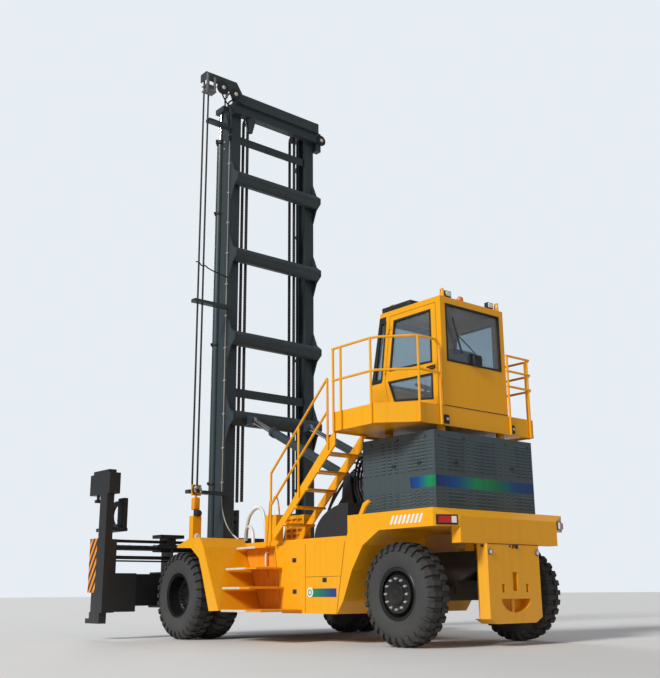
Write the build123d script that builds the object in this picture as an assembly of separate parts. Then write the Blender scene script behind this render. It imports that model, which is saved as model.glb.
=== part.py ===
from build123d import *
import os
from math import atan2, cos, degrees, hypot, pi, radians, sin

# Empty container handler: a counterbalanced truck on six tyres, with a tilting two-stage
# mast and a side-lifting spreader for empty containers. Millimetres. Sizes below are taken
# from the ground under the steering axle: X forward to the mast, Y to the left, Z up.
# Saved pieces are moved back by MIDDLE_X, so the origin is under the middle of the machine.

# Tyres, rims and axles
WHEELBASE = 4300
TYRE_R = 685
TYRE_W = 375
TYRE_WALL_R = TYRE_R - 60
TYRE_SHOULDER_IN = 34
LUGS = 24
LUG_SHARE = 0.55
LUG_DEPTH = 34
WHEEL_SIDES = 28
RIM_R = 330
RIM_WALL = 26
AXLE_Z = TYRE_R
DUAL_PITCH = 450
FRONT_OUTER = 2150
REAR_OUTER = 1360
HUB_R = 190
SPINDLE_R = 100
HUB_GAP = 0.5
DRIVE_AXLE_R = 165
KINGPIN_Y = 900
KINGPIN_R = 45
STEER_LIMIT = 55

# Frame and body
RAIL_IN, RAIL_OUT = 275, 350
RAIL_LOW, RAIL_TOP = 860, 1250
BODY_HALF = 1360
PLATE = 20
DECK_TOP = 1500
DECK_T = 80
DECK_HALF = BODY_HALF - 30
DECK_FRONT = WHEELBASE - 120
TANK_LOW, TANK_TOP = 415, DECK_TOP - DECK_T
TANK_REAR_TOP, TANK_REAR_LOW = 1030, 1225
TANK_FRONT_TOP, TANK_FRONT_LOW = WHEELBASE - 1600, WHEELBASE - 1790
SLAB_TOP = 1780
SLAB_LOW = 1540
SLAB_REAR = -900
SLAB_FRONT = 960
SLAB_BEVEL_X, SLAB_BEVEL_Z = 160, 110
SLAB_APRON = 1330
CORNER_X, CORNER_Y = 160, 340
WEIGHT_REAR = -925
WEIGHT_LOW = 360
POCKET_TOP, POCKET_HALF, POCKET_DEPTH = 612, 300, 150
TOW_PIN_R = 28
SOCKET_Y = 250
FENDER_TOP = 1575
FRAME_FRONT = WHEELBASE + 30
STEP_REAR = WHEELBASE - 1600
FENDER_INNER = 1300
FENDER_NOSE = 1470
FENDER_CREST = WHEELBASE - 350

# Battery box, cab platform and cab
BATTERY_REAR, BATTERY_FRONT = -517, 950
BATTERY_HALF = 1050
BATTERY_TOP = 2870
LOUVRE_TOP, LOUVRE_LOW_TOP = BATTERY_TOP - 95, SLAB_TOP + 245
LOUVRE_PITCH, LOUVRE_RISE, LOUVRE_OUT = 48, 22, 9
PLATFORM_LOW = 2975
SKIRT_TOP = 3255
FLOOR_TOP = 3040
PLATFORM_REAR = -400
PLATFORM_LEFT = 1620
PLATFORM_RIGHT = 1280
PLATFORM_FRONT = 1200
STAIR_X = 1050
STAIR_FOOT = (WHEELBASE - 1660, DECK_TOP)
GRILLE_REAR = STAIR_FOOT[0] - 90
CAB_HALF = 700
CAB_WALL = 45
CAB_TOP = 4900
CAB_NOSE = 1130
DOOR_REAR = -300
DOOR_T = 40
DOOR_GAP = 8
HINGE_Y = CAB_HALF + 17
HINGE_R = 15
RAIL_TUBE_R = 19
POST_R = 18.5
HANDRAIL_TOP = 4200
HANDRAIL_MID = 3720

# Mast
MAST_REAR = WHEELBASE + 370
MAST_DEPTH = 300
MAST_FLANGE = 30
MAST_IN, MAST_OUT = 810, 1030
MAST_LOW, MAST_TOP = 400, 10000
TUBE_R = 140
TUBE_X = MAST_REAR - 105

FLARE_IN = MAST_OUT - 25
PIVOT_X, PIVOT_Z = WHEELBASE + 90, 1020
PIVOT_R = 35
EYE_X, EYE_Z, EYE_Y = WHEELBASE + 30, 3720, 650
TUBE_ZS = (EYE_Z + 55, 0.527 * MAST_TOP, 0.691 * MAST_TOP, 0.848 * MAST_TOP)
BASE_X, BASE_Z = WHEELBASE - 2600, 2425
TILT_ROD_R, TILT_BARREL_R = 45, 75
TILT_PIN_R = 30
EYE_SLACK = 9
INNER_GAP = 15
INNER_FLANGE = 25
INNER_LOW, INNER_TOP = 420, MAST_TOP + 10
LIFT = MAST_TOP - 2400
LIFT_X, LIFT_Y = MAST_REAR + 410, 1000
LIFT_BARREL_R, LIFT_ROD_R = 80, 55
HOSE_X = MAST_REAR - 50
BARREL_TOP = MAST_TOP - 550
GUIDE_Z = 0.583 * MAST_TOP
HOSE_FOOT_Z = 2380
HOSE_END = MAST_OUT + 750
HOSE_YS = (HOSE_END - 160, HOSE_END - 60)

# Carriage and spreader
CARRIAGE_PLATE_IN, CARRIAGE_PLATE_OUT = 640, 700
CARRIAGE_LOW, CARRIAGE_TOP = 480, 2150
BEARING = 0.4
SHIFT = 300
BAR_LOW, BAR_TOP = 1180, 1240
BEAM_T = 145
BEAM_LOW, BEAM_TOP = 520, 1040
BEAM_GAP = 7
CARRIAGE_FRONT = MAST_REAR + 510
BAR_FRONT = CARRIAGE_FRONT + 55
HOOK_REAR = CARRIAGE_FRONT - 30
SLEEVE_X0, SLEEVE_X1 = CARRIAGE_FRONT + 70, CARRIAGE_FRONT + 470
SLEEVE_HALF = 1900
SLEEVE_WALL = 28
TIE_R = 40
TIE_Z = 1480
TELESCOPE = 3066
LOCK_Y = 2927
LOCK_X = SLEEVE_X0 + 450
END_OUT = 3030
POST_TOP = 2700
POST_LOW = 250
HEAD_FRONT = LOCK_X + 120
LOCK_R = 27

MIDDLE_X = (WEIGHT_REAR + HEAD_FRONT) / 2


# Helpers
def box(x0, x1, y0, y1, z0, z1):
    """A block between two corners."""
    size = Box(x1 - x0, y1 - y0, z1 - z0)
    return Pos((x0 + x1) / 2, (y0 + y1) / 2, (z0 + z1) / 2) * size


def side_plate(outline, y0, y1):
    """An outline in X and Z, thickened from y0 to y1."""
    face = Plane.XZ * make_face(Polyline(*outline, close=True))
    return Pos(0, y0, 0) * extrude(face, y1 - y0, dir=(0, 1, 0))


def flat_plate(outline, z0, z1):
    """An outline in X and Y, thickened from z0 to z1."""
    face = make_face(Polyline(*outline, close=True))
    return Pos(0, 0, z0) * extrude(face, z1 - z0)


def cross_plate(outline, x0, x1):
    """An outline in Y and Z, thickened from x0 to x1."""
    face = Plane.YZ * make_face(Polyline(*outline, close=True))
    return Pos(x0, 0, 0) * extrude(face, x1 - x0)


def bar(start, end, radius):
    """A round bar between two points."""
    run = Vector(*end) - Vector(*start)
    grow = (Align.CENTER, Align.CENTER, Align.MIN)
    return Plane(origin=start, z_dir=run) * Cylinder(radius, run.length, align=grow)


def ring_along_y(x, z, y0, y1, outer, inner):
    """A round sleeve on an axis along Y."""
    return bar((x, y0, z), (x, y1, z), outer) - bar((x, y0, z), (x, y1, z), inner)


def tube(start, end, radius):
    """A twelve-sided bar between two points, for tubes that nothing turns in."""
    run = Vector(*end) - Vector(*start)
    return extrude(Plane(origin=start, z_dir=run) * RegularPolygon(radius, 12), run.length)


def pipe(points, radius, bend):
    """A handrail pipe through points, eight-sided in section, each turn cut across."""
    ends = [Vector(*point) for point in points]
    route = [ends[0]]
    for before, corner, after in zip(ends, ends[1:], ends[2:]):
        for other in (before, after):
            route.append(corner + (other - corner).normalized() * bend)
    route.append(ends[-1])
    path = Polyline(*route)
    section = Plane(origin=route[0], z_dir=path % 0) * RegularPolygon(radius, 8)
    return sweep(section, path=path, transition=Transition.RIGHT)


def other_side(part):
    """The same piece on the right of the machine."""
    return mirror(part, about=Plane.XZ)


def group(*parts):
    """Separate solids that share a node."""
    solids = [solid for part in parts for solid in part.solids()]
    return Compound(children=solids)


def save(name, part):
    """Write one node, moved to the machine's own frame."""
    export_step(Pos(-MIDDLE_X, 0, 0) * part, f"parts/{name}.step")


# Wheels
def wheel_face(radius, y):
    """A many-sided outline across the wheel's axis."""
    return Plane(origin=(0, y, 0), x_dir=(1, 0, 0), z_dir=(0, 1, 0)) * RegularPolygon(radius, WHEEL_SIDES)


def drum(radius, y0, y1):
    """A many-sided drum on the wheel's axis."""
    return extrude(wheel_face(radius, y0), y1 - y0, dir=(0, 1, 0))


def cone(radius0, y0, radius1, y1):
    return loft([wheel_face(radius0, y0), wheel_face(radius1, y1)], ruled=True)


def tread_band(y0, y1):
    """The band of lugs: flat lug tips with grooves between them."""
    pitch = 2 * pi / LUGS
    tip = TYRE_R / cos(LUG_SHARE * pitch / 2)
    outline = []
    for n in range(LUGS):
        centre = n * pitch - pi / 2
        for radius, offset in ((tip, -LUG_SHARE), (tip, LUG_SHARE), (TYRE_R - LUG_DEPTH, 0.75), (TYRE_R - LUG_DEPTH, 1.25)):
            angle = centre + offset * pitch / 2
            outline.append((radius * cos(angle), radius * sin(angle)))
    return side_plate(outline, y0, y1)


def tyre(y_outer):
    """One tyre: band of lugs, two side walls and the seats on the rim."""
    y_inner = y_outer - TYRE_W
    part = tread_band(y_inner + TYRE_SHOULDER_IN, y_outer - TYRE_SHOULDER_IN)
    part += cone(TYRE_WALL_R, y_inner + TYRE_SHOULDER_IN, TYRE_WALL_R - 110, y_inner)
    part += cone(TYRE_WALL_R, y_outer - TYRE_SHOULDER_IN, TYRE_WALL_R - 110, y_outer)
    part -= cone(TYRE_WALL_R - 160, y_inner, RIM_R + 26, y_inner + 38)
    part -= cone(TYRE_WALL_R - 160, y_outer, RIM_R + 26, y_outer - 38)
    part -= drum(RIM_R, y_inner - 1, y_outer + 1)
    return part


def rim(y_outer, dish):
    """A rim with its flanges, a dished disc and a hub; dish is how far the disc lies inwards."""
    y_inner = y_outer - TYRE_W
    disc = y_outer - dish
    part = drum(RIM_R, y_inner + 20, y_outer - 20)
    for y in (y_inner + 20, y_outer - 34):
        part += drum(RIM_R + 22, y, y + 14)
    part -= drum(RIM_R - RIM_WALL, y_inner + 19, disc)
    part -= drum(RIM_R - RIM_WALL, disc + 30, y_outer - 19)
    part += bar((0, disc - 60, 0), (0, disc + 40, 0), HUB_R)
    part -= bar((0, disc - 61, 0), (0, disc + 41, 0), SPINDLE_R + HUB_GAP)
    return part


def wheels():
    rear = Pos(0, 0, AXLE_Z)
    front = Pos(WHEELBASE, 0, AXLE_Z)
    inner_outer = FRONT_OUTER - DUAL_PITCH
    rear_tyre = rear * tyre(REAR_OUTER)
    rear_rim = rear * rim(REAR_OUTER, 150)
    twin_tyres = front * group(tyre(FRONT_OUTER), tyre(inner_outer))
    cap = bar((0, FRONT_OUTER - 213, 0), (0, FRONT_OUTER - 130, 0), HUB_R - 25)
    twin_rims = front * group(rim(FRONT_OUTER, 250) + cap, rim(inner_outer, 120))
    for side, turn in (("left", lambda part: part), ("right", other_side)):
        save(f"rear_tyre_{side}", turn(rear_tyre))
        save(f"rear_rim_{side}", turn(rear_rim))
        save(f"front_tyres_{side}", turn(twin_tyres))
        save(f"front_rims_{side}", turn(twin_rims))


# Axles
def drive_axle():
    """Banjo housing, hub ends and the seats under the frame."""
    end = FRONT_OUTER - DUAL_PITCH - TYRE_W - 25
    spindle_end = FRONT_OUTER - 215
    housing = bar((WHEELBASE, -end, AXLE_Z), (WHEELBASE, end, AXLE_Z), DRIVE_AXLE_R)
    banjo = Pos(WHEELBASE - 60, 0, AXLE_Z) * Cylinder(DRIVE_AXLE_R + 95, 300, rotation=(90, 0, 0))
    housing += banjo
    housing -= box(WHEELBASE + 175, WHEELBASE + 400, -400, 400, 0, 1400)
    for y in (-1, 1):
        housing += bar((WHEELBASE, y * end, AXLE_Z), (WHEELBASE, y * spindle_end, AXLE_Z), SPINDLE_R)
        housing += bar((WHEELBASE, y * (end - 90), AXLE_Z), (WHEELBASE, y * end, AXLE_Z), DRIVE_AXLE_R + 60)
        housing += box(
            WHEELBASE - 130, WHEELBASE + 110, y * 312 - 70, y * 312 + 70, AXLE_Z, RAIL_LOW
        )
    save("drive_axle", housing)


def steer_axle():
    """Box beam with kingpin eyes and a saddle under the frame."""
    depth = 95
    beam = box(-120, 120, -KINGPIN_Y + 60, KINGPIN_Y - 60, AXLE_Z - depth, AXLE_Z + depth)
    beam += box(-170, 170, -RAIL_OUT, RAIL_OUT, AXLE_Z, RAIL_LOW)
    for y in (-KINGPIN_Y, KINGPIN_Y):
        beam += bar((0, y, AXLE_Z - depth), (0, y, AXLE_Z + depth), 80)
        beam -= bar((0, y, AXLE_Z - depth - 1), (0, y, AXLE_Z + depth + 1), KINGPIN_R + BEARING)
    save("steer_axle", beam)


def knuckle():
    """Fork over the beam's eye, with its kingpin and the wheel's spindle."""
    depth = 95
    arm = 50
    face = KINGPIN_Y + 88
    top, low = AXLE_Z + depth + 6, AXLE_Z - depth - 6
    part = bar((0, KINGPIN_Y, low - arm), (0, KINGPIN_Y, top + arm), KINGPIN_R)
    for z in (low - arm, top):
        part += box(-70, 70, KINGPIN_Y, face + 40, z, z + arm)
        part += bar((0, KINGPIN_Y, z), (0, KINGPIN_Y, z + arm), 70)
    part += box(-100, 100, face, face + 40, low - arm, top + arm)
    part += bar((0, face + 40, AXLE_Z), (0, REAR_OUTER - 150 + 40, AXLE_Z), SPINDLE_R)
    return part


# Frame and body
def chassis_frame():
    """Two deep rails, cross members and the mast's hinge ears with their pins."""
    rear, front = -560, FRAME_FRONT
    frame = Part()
    for y in (-1, 1):
        low, high = sorted((y * RAIL_IN, y * RAIL_OUT))
        rail = [
            (rear, RAIL_LOW + 150),
            (rear + 300, RAIL_LOW),
            (front, RAIL_LOW),
            (front, RAIL_TOP),
            (rear, RAIL_TOP),
        ]
        frame += side_plate(rail, low, high)
        for outer in (450, 550):
            inner, out = sorted((y * outer, y * (outer + 40)))
            ear = side_plate(
                [
                    (front - 150, RAIL_LOW + 60),
                    (PIVOT_X, PIVOT_Z - 75),
                    (PIVOT_X, PIVOT_Z + 75),
                    (front - 150, RAIL_TOP),
                ],
                inner,
                out,
            )
            ear += bar((PIVOT_X, inner, PIVOT_Z), (PIVOT_X, out, PIVOT_Z), 75)
            frame += ear
        frame += bar((PIVOT_X, y * 440, PIVOT_Z), (PIVOT_X, y * 600, PIVOT_Z), PIVOT_R)
        low, high = sorted((y * RAIL_OUT, y * 600))
        frame += box(front - 250, front - 150, low, high, RAIL_LOW + 60, RAIL_TOP)
    for x in (rear, 1500, WHEELBASE - 1200):
        frame += box(x, x + 300, -RAIL_IN, RAIL_IN, RAIL_LOW + 200, RAIL_TOP)
    save("chassis_frame", frame)


def counterweight():
    """Cast weight behind and between the steered tyres: foot, tow pocket with its pin, slot and sockets."""
    plan = [
        (WEIGHT_REAR, -540),
        (WEIGHT_REAR, 540),
        (WEIGHT_REAR + 125, 600),
        (-560, RAIL_OUT),
        (-560, -RAIL_OUT),
        (WEIGHT_REAR + 125, -600),
    ]
    part = flat_plate(plan, WEIGHT_LOW, SLAB_APRON)
    foot = cross_plate(
        [(-530, WEIGHT_LOW), (530, WEIGHT_LOW), (400, WEIGHT_LOW - 65), (-400, WEIGHT_LOW - 65)],
        WEIGHT_REAR,
        WEIGHT_REAR + 280,
    )
    part += foot
    arc = EllipticalCenterArc((0, POCKET_TOP), POCKET_HALF, 180, start_angle=180, arc_size=180)
    mouth = Plane.YZ * make_face(arc + Line(arc @ 1, arc @ 0))
    part -= Pos(WEIGHT_REAR, 0, 0) * extrude(mouth, POCKET_DEPTH)
    pin_x = WEIGHT_REAR + POCKET_DEPTH / 2
    part += bar((pin_x, 0, POCKET_TOP - 185), (pin_x, 0, POCKET_TOP + 5), TOW_PIN_R)
    part -= box(WEIGHT_REAR, WEIGHT_REAR + 70, -50, 50, 715, 960)
    for y in (-SOCKET_Y, SOCKET_Y):
        part -= box(WEIGHT_REAR, WEIGHT_REAR + 60, y - 26, y + 26, 695, 805)
    part -= box(WEIGHT_REAR, WEIGHT_REAR + 50, -33, 33, 1272, 1328)
    save("counterweight", part)


def rear_deck():
    """Thick rear slab with bevelled rim, clipped corners and the walls of both wheel arches."""
    top_plan = [
        (SLAB_REAR, CORNER_Y - BODY_HALF),
        (SLAB_REAR, BODY_HALF - CORNER_Y),
        (SLAB_REAR + CORNER_X, BODY_HALF),
        (SLAB_FRONT, BODY_HALF),
        (SLAB_FRONT, -BODY_HALF),
        (SLAB_REAR + CORNER_X, -BODY_HALF),
    ]
    slab = flat_plate(top_plan, SLAB_LOW, SLAB_TOP)
    apron_half = BODY_HALF - CORNER_Y
    apron = side_plate(
        [
            (SLAB_REAR, SLAB_APRON),
            (SLAB_REAR + 160, SLAB_APRON),
            (SLAB_REAR + 160, SLAB_LOW),
            (SLAB_REAR, SLAB_LOW),
        ],
        -apron_half,
        apron_half,
    )
    slab += apron
    bevel = side_plate(
        [
            (SLAB_REAR - 1, SLAB_TOP + 1),
            (SLAB_REAR + SLAB_BEVEL_X, SLAB_TOP + 1),
            (SLAB_REAR - 1, SLAB_TOP - SLAB_BEVEL_Z),
        ],
        -BODY_HALF,
        BODY_HALF,
    )
    slab -= bevel
    leg = [
        (300, SLAB_LOW),
        (SLAB_FRONT, SLAB_LOW),
        (TANK_REAR_TOP - 12, TANK_TOP),
        (TANK_REAR_LOW - 12, TANK_LOW),
        (1075, 595),
        (880, 1015),
        (640, 1350),
    ]
    for y0, y1 in ((RAIL_OUT, BODY_HALF), (-BODY_HALF, -RAIL_OUT)):
        slab += side_plate(leg, y0, y1)
    for x in (-520, 420):
        slab += box(x, x + 160, -RAIL_OUT, RAIL_OUT, RAIL_TOP, SLAB_LOW)
    save("rear_deck", slab)


def front_deck():
    """Walking deck between the mast and the rear slab, with the tilt cylinders' towers."""
    wide = WHEELBASE - 1300
    deck = box(TANK_REAR_TOP, wide, -DECK_HALF, DECK_HALF, TANK_TOP, DECK_TOP)
    deck += box(wide, DECK_FRONT, -FENDER_INNER, FENDER_INNER, TANK_TOP, DECK_TOP)
    for y in (-1, 1):
        for inner in (EYE_Y - 75, EYE_Y + 40):
            low, high = sorted((y * inner, y * (inner + 35)))
            deck += side_plate(
                [
                    (BASE_X - 260, DECK_TOP),
                    (BASE_X + 200, DECK_TOP),
                    (BASE_X + 80, BASE_Z),
                    (BASE_X - 80, BASE_Z),
                ],
                low,
                high,
            )
            deck += bar((BASE_X, low, BASE_Z), (BASE_X, high, BASE_Z), 80)
        deck += bar((BASE_X, y * (EYE_Y - 80), BASE_Z), (BASE_X, y * (EYE_Y + 80), BASE_Z), TILT_PIN_R)
    deck += box(STAIR_FOOT[0] + 70, STAIR_FOOT[0] + 370, 1190, 1330, DECK_TOP, DECK_TOP + 410)
    grille = box(GRILLE_REAR, GRILLE_REAR + 500, 760, 900, DECK_TOP, DECK_TOP + 420)
    for row in range(4):
        for column in range(3):
            x = GRILLE_REAR + 50 + 140 * column
            z = DECK_TOP + 70 + 82 * row
            grille -= box(x, x + 110, 860, 901, z, z + 48)
    deck += grille
    for x in (TANK_REAR_TOP + 60, WHEELBASE - 1800, DECK_FRONT - 260):
        deck += box(x, x + 120, -RAIL_OUT, RAIL_OUT, RAIL_TOP, TANK_TOP)
    save("front_deck", deck)


def side_tanks():
    """Side boxes between the wheel arches; the right one runs on to the front fender."""
    left = [
        (TANK_REAR_LOW, TANK_LOW),
        (TANK_FRONT_LOW, TANK_LOW),
        (TANK_FRONT_TOP, TANK_TOP),
        (TANK_REAR_TOP, TANK_TOP),
    ]
    right = [
        (TANK_REAR_LOW, TANK_LOW),
        (WHEELBASE - 1320, TANK_LOW),
        (WHEELBASE - 840, TANK_TOP),
        (TANK_REAR_TOP, TANK_TOP),
    ]
    part = group(
        side_plate(left, RAIL_OUT + BEARING, BODY_HALF), side_plate(right, -BODY_HALF, -RAIL_OUT - BEARING)
    )
    save("side_tanks", part)


FENDER_OUTLINE = (
    (FRAME_FRONT, FENDER_NOSE), (FENDER_CREST, FENDER_TOP), (WHEELBASE - 660, FENDER_TOP),
    (WHEELBASE - 770, 1430), (WHEELBASE - 890, 1170), (WHEELBASE - 1240, 460), (WHEELBASE - 970, 450),
    (WHEELBASE - 850, 760), (WHEELBASE - 740, 1040), (WHEELBASE - 640, 1260), (WHEELBASE - 400, 1420),
    (FRAME_FRONT, 1440),
)


def front_fender():
    """Box fender over the twin tyres, open below: side band, inner wall and the skin between."""
    skin = [
        *FENDER_OUTLINE[:6],
        (WHEELBASE - 1215, 458),
        (WHEELBASE - 868, 1160),
        (WHEELBASE - 752, 1415),
        (WHEELBASE - 650, FENDER_TOP - 22),
        (FENDER_CREST - 2, FENDER_TOP - 22),
        (FRAME_FRONT - 5, 1448),
    ]
    part = side_plate(list(FENDER_OUTLINE), FRONT_OUTER - PLATE, FRONT_OUTER)
    part += side_plate(skin, FENDER_INNER, FRONT_OUTER)
    part += side_plate(list(FENDER_OUTLINE), FENDER_INNER, FENDER_INNER + PLATE)
    return part


def louvre_heights():
    """Heights of the louvres: a tall upper field and a low one under the coloured band."""
    upper = [LOUVRE_TOP - n * LOUVRE_PITCH for n in range(10)]
    return upper + [LOUVRE_LOW_TOP - n * LOUVRE_PITCH for n in range(4)]


def battery_box():
    """Battery housing with pressed louvres in three columns behind and six on each side."""
    part = box(BATTERY_REAR, BATTERY_FRONT, -BATTERY_HALF, BATTERY_HALF, SLAB_TOP, BATTERY_TOP)
    ribs = []
    for z in louvre_heights():
        rear = [(BATTERY_REAR + 1, z), (BATTERY_REAR - LOUVRE_OUT, z), (BATTERY_REAR + 1, z + LOUVRE_RISE)]
        for y0, y1 in ((485, 811), (-172, 230), (-993, -589)):
            ribs.append(side_plate(rear, y0, y1))
        side = [
            (BATTERY_HALF - 1, z),
            (BATTERY_HALF + LOUVRE_OUT, z),
            (BATTERY_HALF - 1, z + LOUVRE_RISE),
        ]
        for x in (-322, -205, -87, 240, 380, 512):
            rib = cross_plate(side, x - 38, x + 38)
            ribs += [rib, other_side(rib)]
    save("battery_box", part.fuse(*[rib.solid() for rib in ribs]))


def fairing():
    """Dark quarter-round cover behind the stairs."""
    x0, x1 = SLAB_FRONT + 20, 1750
    arc = EllipticalCenterArc((x0, DECK_TOP), x1 - x0, 470, start_angle=0, arc_size=90)
    edge = arc + Line(arc @ 1, (x0, DECK_TOP)) + Line((x0, DECK_TOP), arc @ 0)
    face = Plane.XZ * make_face(edge)
    part = Pos(0, 800, 0) * extrude(face, DECK_HALF - 800, dir=(0, 1, 0))
    save("fairing", part)


def hydraulics():
    """Valve bank and its bracket in front of the battery box."""
    part = box(1030, 1330, -480, 560, 1900, 2780)
    for x in (1060, 1240):
        part += box(x, x + 60, -400, -320, DECK_TOP, 1900) + box(x, x + 60, 400, 480, DECK_TOP, 1900)
    save("hydraulics", part)


# Cab
PLATFORM_PLAN = (
    (PLATFORM_REAR, -PLATFORM_RIGHT),
    (PLATFORM_REAR, 1200),
    (50, PLATFORM_LEFT),
    (950, PLATFORM_LEFT),
    (STAIR_X, PLATFORM_LEFT - 90),
    (STAIR_X, 880),
    (PLATFORM_FRONT, 880),
    (PLATFORM_FRONT, -900),
    (STAIR_X, -PLATFORM_RIGHT),
)


def cab_platform():
    """Floor plate with a deep skirt all round, on four isolators."""
    outer = make_face(Polyline(*PLATFORM_PLAN, close=True))
    inner = offset(outer, -PLATE)
    skirt = extrude(outer, SKIRT_TOP - PLATFORM_LOW) - extrude(inner, SKIRT_TOP - PLATFORM_LOW)
    floor = extrude(outer, FLOOR_TOP - 3000)
    part = Pos(0, 0, PLATFORM_LOW) * skirt + Pos(0, 0, 3000) * floor
    part -= box(STAIR_X - 60, STAIR_X + 60, 950, PLATFORM_LEFT - 120, FLOOR_TOP, SKIRT_TOP + 1)
    part -= box(PLATFORM_REAR - 1, PLATFORM_REAR + PLATE, -CAB_HALF, CAB_HALF, FLOOR_TOP, SKIRT_TOP + 1)
    for x in (PLATFORM_REAR + 130, 800):
        for y in (-CAB_HALF + 60, CAB_HALF - 60):
            part += bar((x, y, BATTERY_TOP), (x, y, 3000), 60)
    save("cab_platform", part)


CAB_SIDE = (
    (PLATFORM_REAR, FLOOR_TOP),
    (1000, FLOOR_TOP),
    (CAB_NOSE, 3320),
    (1110, 3790),
    (870, CAB_TOP),
    (PLATFORM_REAR, CAB_TOP),
)
DOOR_SIDE = (
    (DOOR_REAR, 3300),
    (690, 3300),
    (800, 3800),
    (650, 4810),
    (DOOR_REAR, 4810),
)
UPPER_PANE = ((-205, 3925), (700, 3950), (575, 4735), (-205, 4735))
LOWER_PANE = ((-205, 3380), (610, 3470), (735, 3800), (-205, 3770))
QUARTER_PANE = ((860, 3830), (1045, 3830), (870, 4760), (735, 4760))
REAR_PANE = (
    (-600, 3925), (-120, 3925), (-120, 4080), (60, 4080), (60, 3925), (600, 3925), (600, 4800), (-600, 4800),
)
WINDSCREEN_SLOPE = (1110 - 870) / (CAB_TOP - 3790)


def shrink(outline, by):
    """The outline drawn in by a distance."""
    return offset(make_face(Polyline(*outline, close=True)), -by)


def side_prism(face, y0, y1):
    return Pos(0, y0, 0) * extrude(Plane.XZ * face, y1 - y0, dir=(0, 1, 0))


def cab_shell():
    """Hollow cab with its openings cut: doorway, right panes, quarter panes, windscreen, rear pane."""
    outline = shrink(CAB_SIDE, 0)
    shell = side_prism(outline, -CAB_HALF, CAB_HALF)
    shell -= side_prism(shrink(CAB_SIDE, CAB_WALL), CAB_WALL - CAB_HALF, CAB_HALF - CAB_WALL)
    shell -= side_prism(shrink(DOOR_SIDE, -DOOR_GAP), CAB_HALF - CAB_WALL - 1, CAB_HALF + 1)
    for pane in (UPPER_PANE, LOWER_PANE):
        shell -= side_plate(list(pane), -CAB_HALF - 1, CAB_WALL + 1 - CAB_HALF)
    for y0, y1 in ((-CAB_HALF - 1, CAB_WALL + 1 - CAB_HALF), (CAB_HALF - CAB_WALL - 1, CAB_HALF + 1)):
        shell -= side_plate(list(QUARTER_PANE), y0, y1)
    shell -= cross_plate(list(REAR_PANE), PLATFORM_REAR - 1, PLATFORM_REAR + CAB_WALL + 1)
    shell -= box(800, 1200, -CAB_HALF + 80, CAB_HALF - 80, 3830, CAB_TOP - 130)
    for z in HINGE_ZS:
        shell += hinge_half(z - HINGE_LONG / 2, 1) + hinge_pin(z, HINGE_PIN_R)
    for x in (PLATFORM_REAR + 40, 700):
        for y in (-CAB_HALF + 90, CAB_HALF - 90):
            lug = side_plate(
                [(x - 40, CAB_TOP), (x + 40, CAB_TOP), (x + 30, CAB_TOP + 130), (x - 30, CAB_TOP + 130)],
                y - 10,
                y + 10,
            )
            shell += lug - bar((x, y - 11, CAB_TOP + 85), (x, y + 11, CAB_TOP + 85), 22)
    save("cab_shell", shell)


def cab_glass():
    """Panes let into the cab's openings."""
    t, back = 10, 18
    panes = []
    for pane in (UPPER_PANE, LOWER_PANE):
        panes.append(side_prism(shrink(pane, 0.3), -CAB_HALF + back, -CAB_HALF + back + t))
    panes.append(side_prism(shrink(QUARTER_PANE, 0.3), -CAB_HALF + back, -CAB_HALF + back + t))
    panes.append(side_prism(shrink(QUARTER_PANE, 0.3), CAB_HALF - back - t, CAB_HALF - back))
    rear = Plane.YZ * shrink(REAR_PANE, 0.3)
    panes.append(Pos(PLATFORM_REAR + back, 0, 0) * extrude(rear, t))
    z0, z1 = 3830.3, CAB_TOP - 130.3
    front = [
        (1110 - back - WINDSCREEN_SLOPE * (z0 - 3790), z0),
        (1110 - back - WINDSCREEN_SLOPE * (z1 - 3790), z1),
        (1110 - back - t - WINDSCREEN_SLOPE * (z1 - 3790), z1),
        (1110 - back - t - WINDSCREEN_SLOPE * (z0 - 3790), z0),
    ]
    panes.append(side_plate(front, -CAB_HALF + 80.3, CAB_HALF - 80.3))
    save("cab_glass", group(*panes))


HINGE_ZS = (3990, 4600)
HINGE_LONG = 60
HINGE_PIN_R = 7
PILLAR_LEAN = (650 - 800) / (4810 - 3800)


def hinge_x(z):
    """The hinge line leans with the front pillar, half-way across the door's gap."""
    return 800 + PILLAR_LEAN * (z - 3800) + DOOR_GAP / 2


def hinge_half(z, way):
    """One knuckle and its strap; way is +1 for the pillar's and -1 for the door's."""
    along = Vector(PILLAR_LEAN, 0, 1).normalized()
    low = Vector(hinge_x(z), HINGE_Y, z) - along * (HINGE_LONG / 2 - 0.5)
    top = Vector(hinge_x(z), HINGE_Y, z) + along * (HINGE_LONG / 2 - 0.5)
    part = bar(tuple(low), tuple(top), HINGE_R)
    near, far = sorted((hinge_x(z), hinge_x(z) + way * 48))
    return part + box(near, far, CAB_HALF, CAB_HALF + 12, z - 22, z + 22)


def hinge_pin(z, radius):
    along = Vector(PILLAR_LEAN, 0, 1).normalized()
    low = Vector(hinge_x(z), HINGE_Y, z)
    return bar(tuple(low - along * 50), tuple(low + along * 60), radius)


def cab_door():
    """Door leaf with two panes cut, and its glass."""
    y0, y1 = CAB_HALF - DOOR_T, CAB_HALF
    leaf = side_prism(shrink(DOOR_SIDE, 0), y0, y1)
    for pane in (UPPER_PANE, LOWER_PANE):
        leaf -= side_plate(list(pane), y0 - 1, y1 + 1)
    leaf += box(-250, -150, y1, y1 + 35, 3840, 3870)
    for z in HINGE_ZS:
        leaf += hinge_half(z + HINGE_LONG / 2 + 1, -1) - hinge_pin(z, HINGE_PIN_R + BEARING)
    save("cab_door", leaf)
    glass = [side_prism(shrink(pane, 0.3), y1 - 28, y1 - 18) for pane in (UPPER_PANE, LOWER_PANE)]
    save("door_glass", group(*glass))


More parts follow.
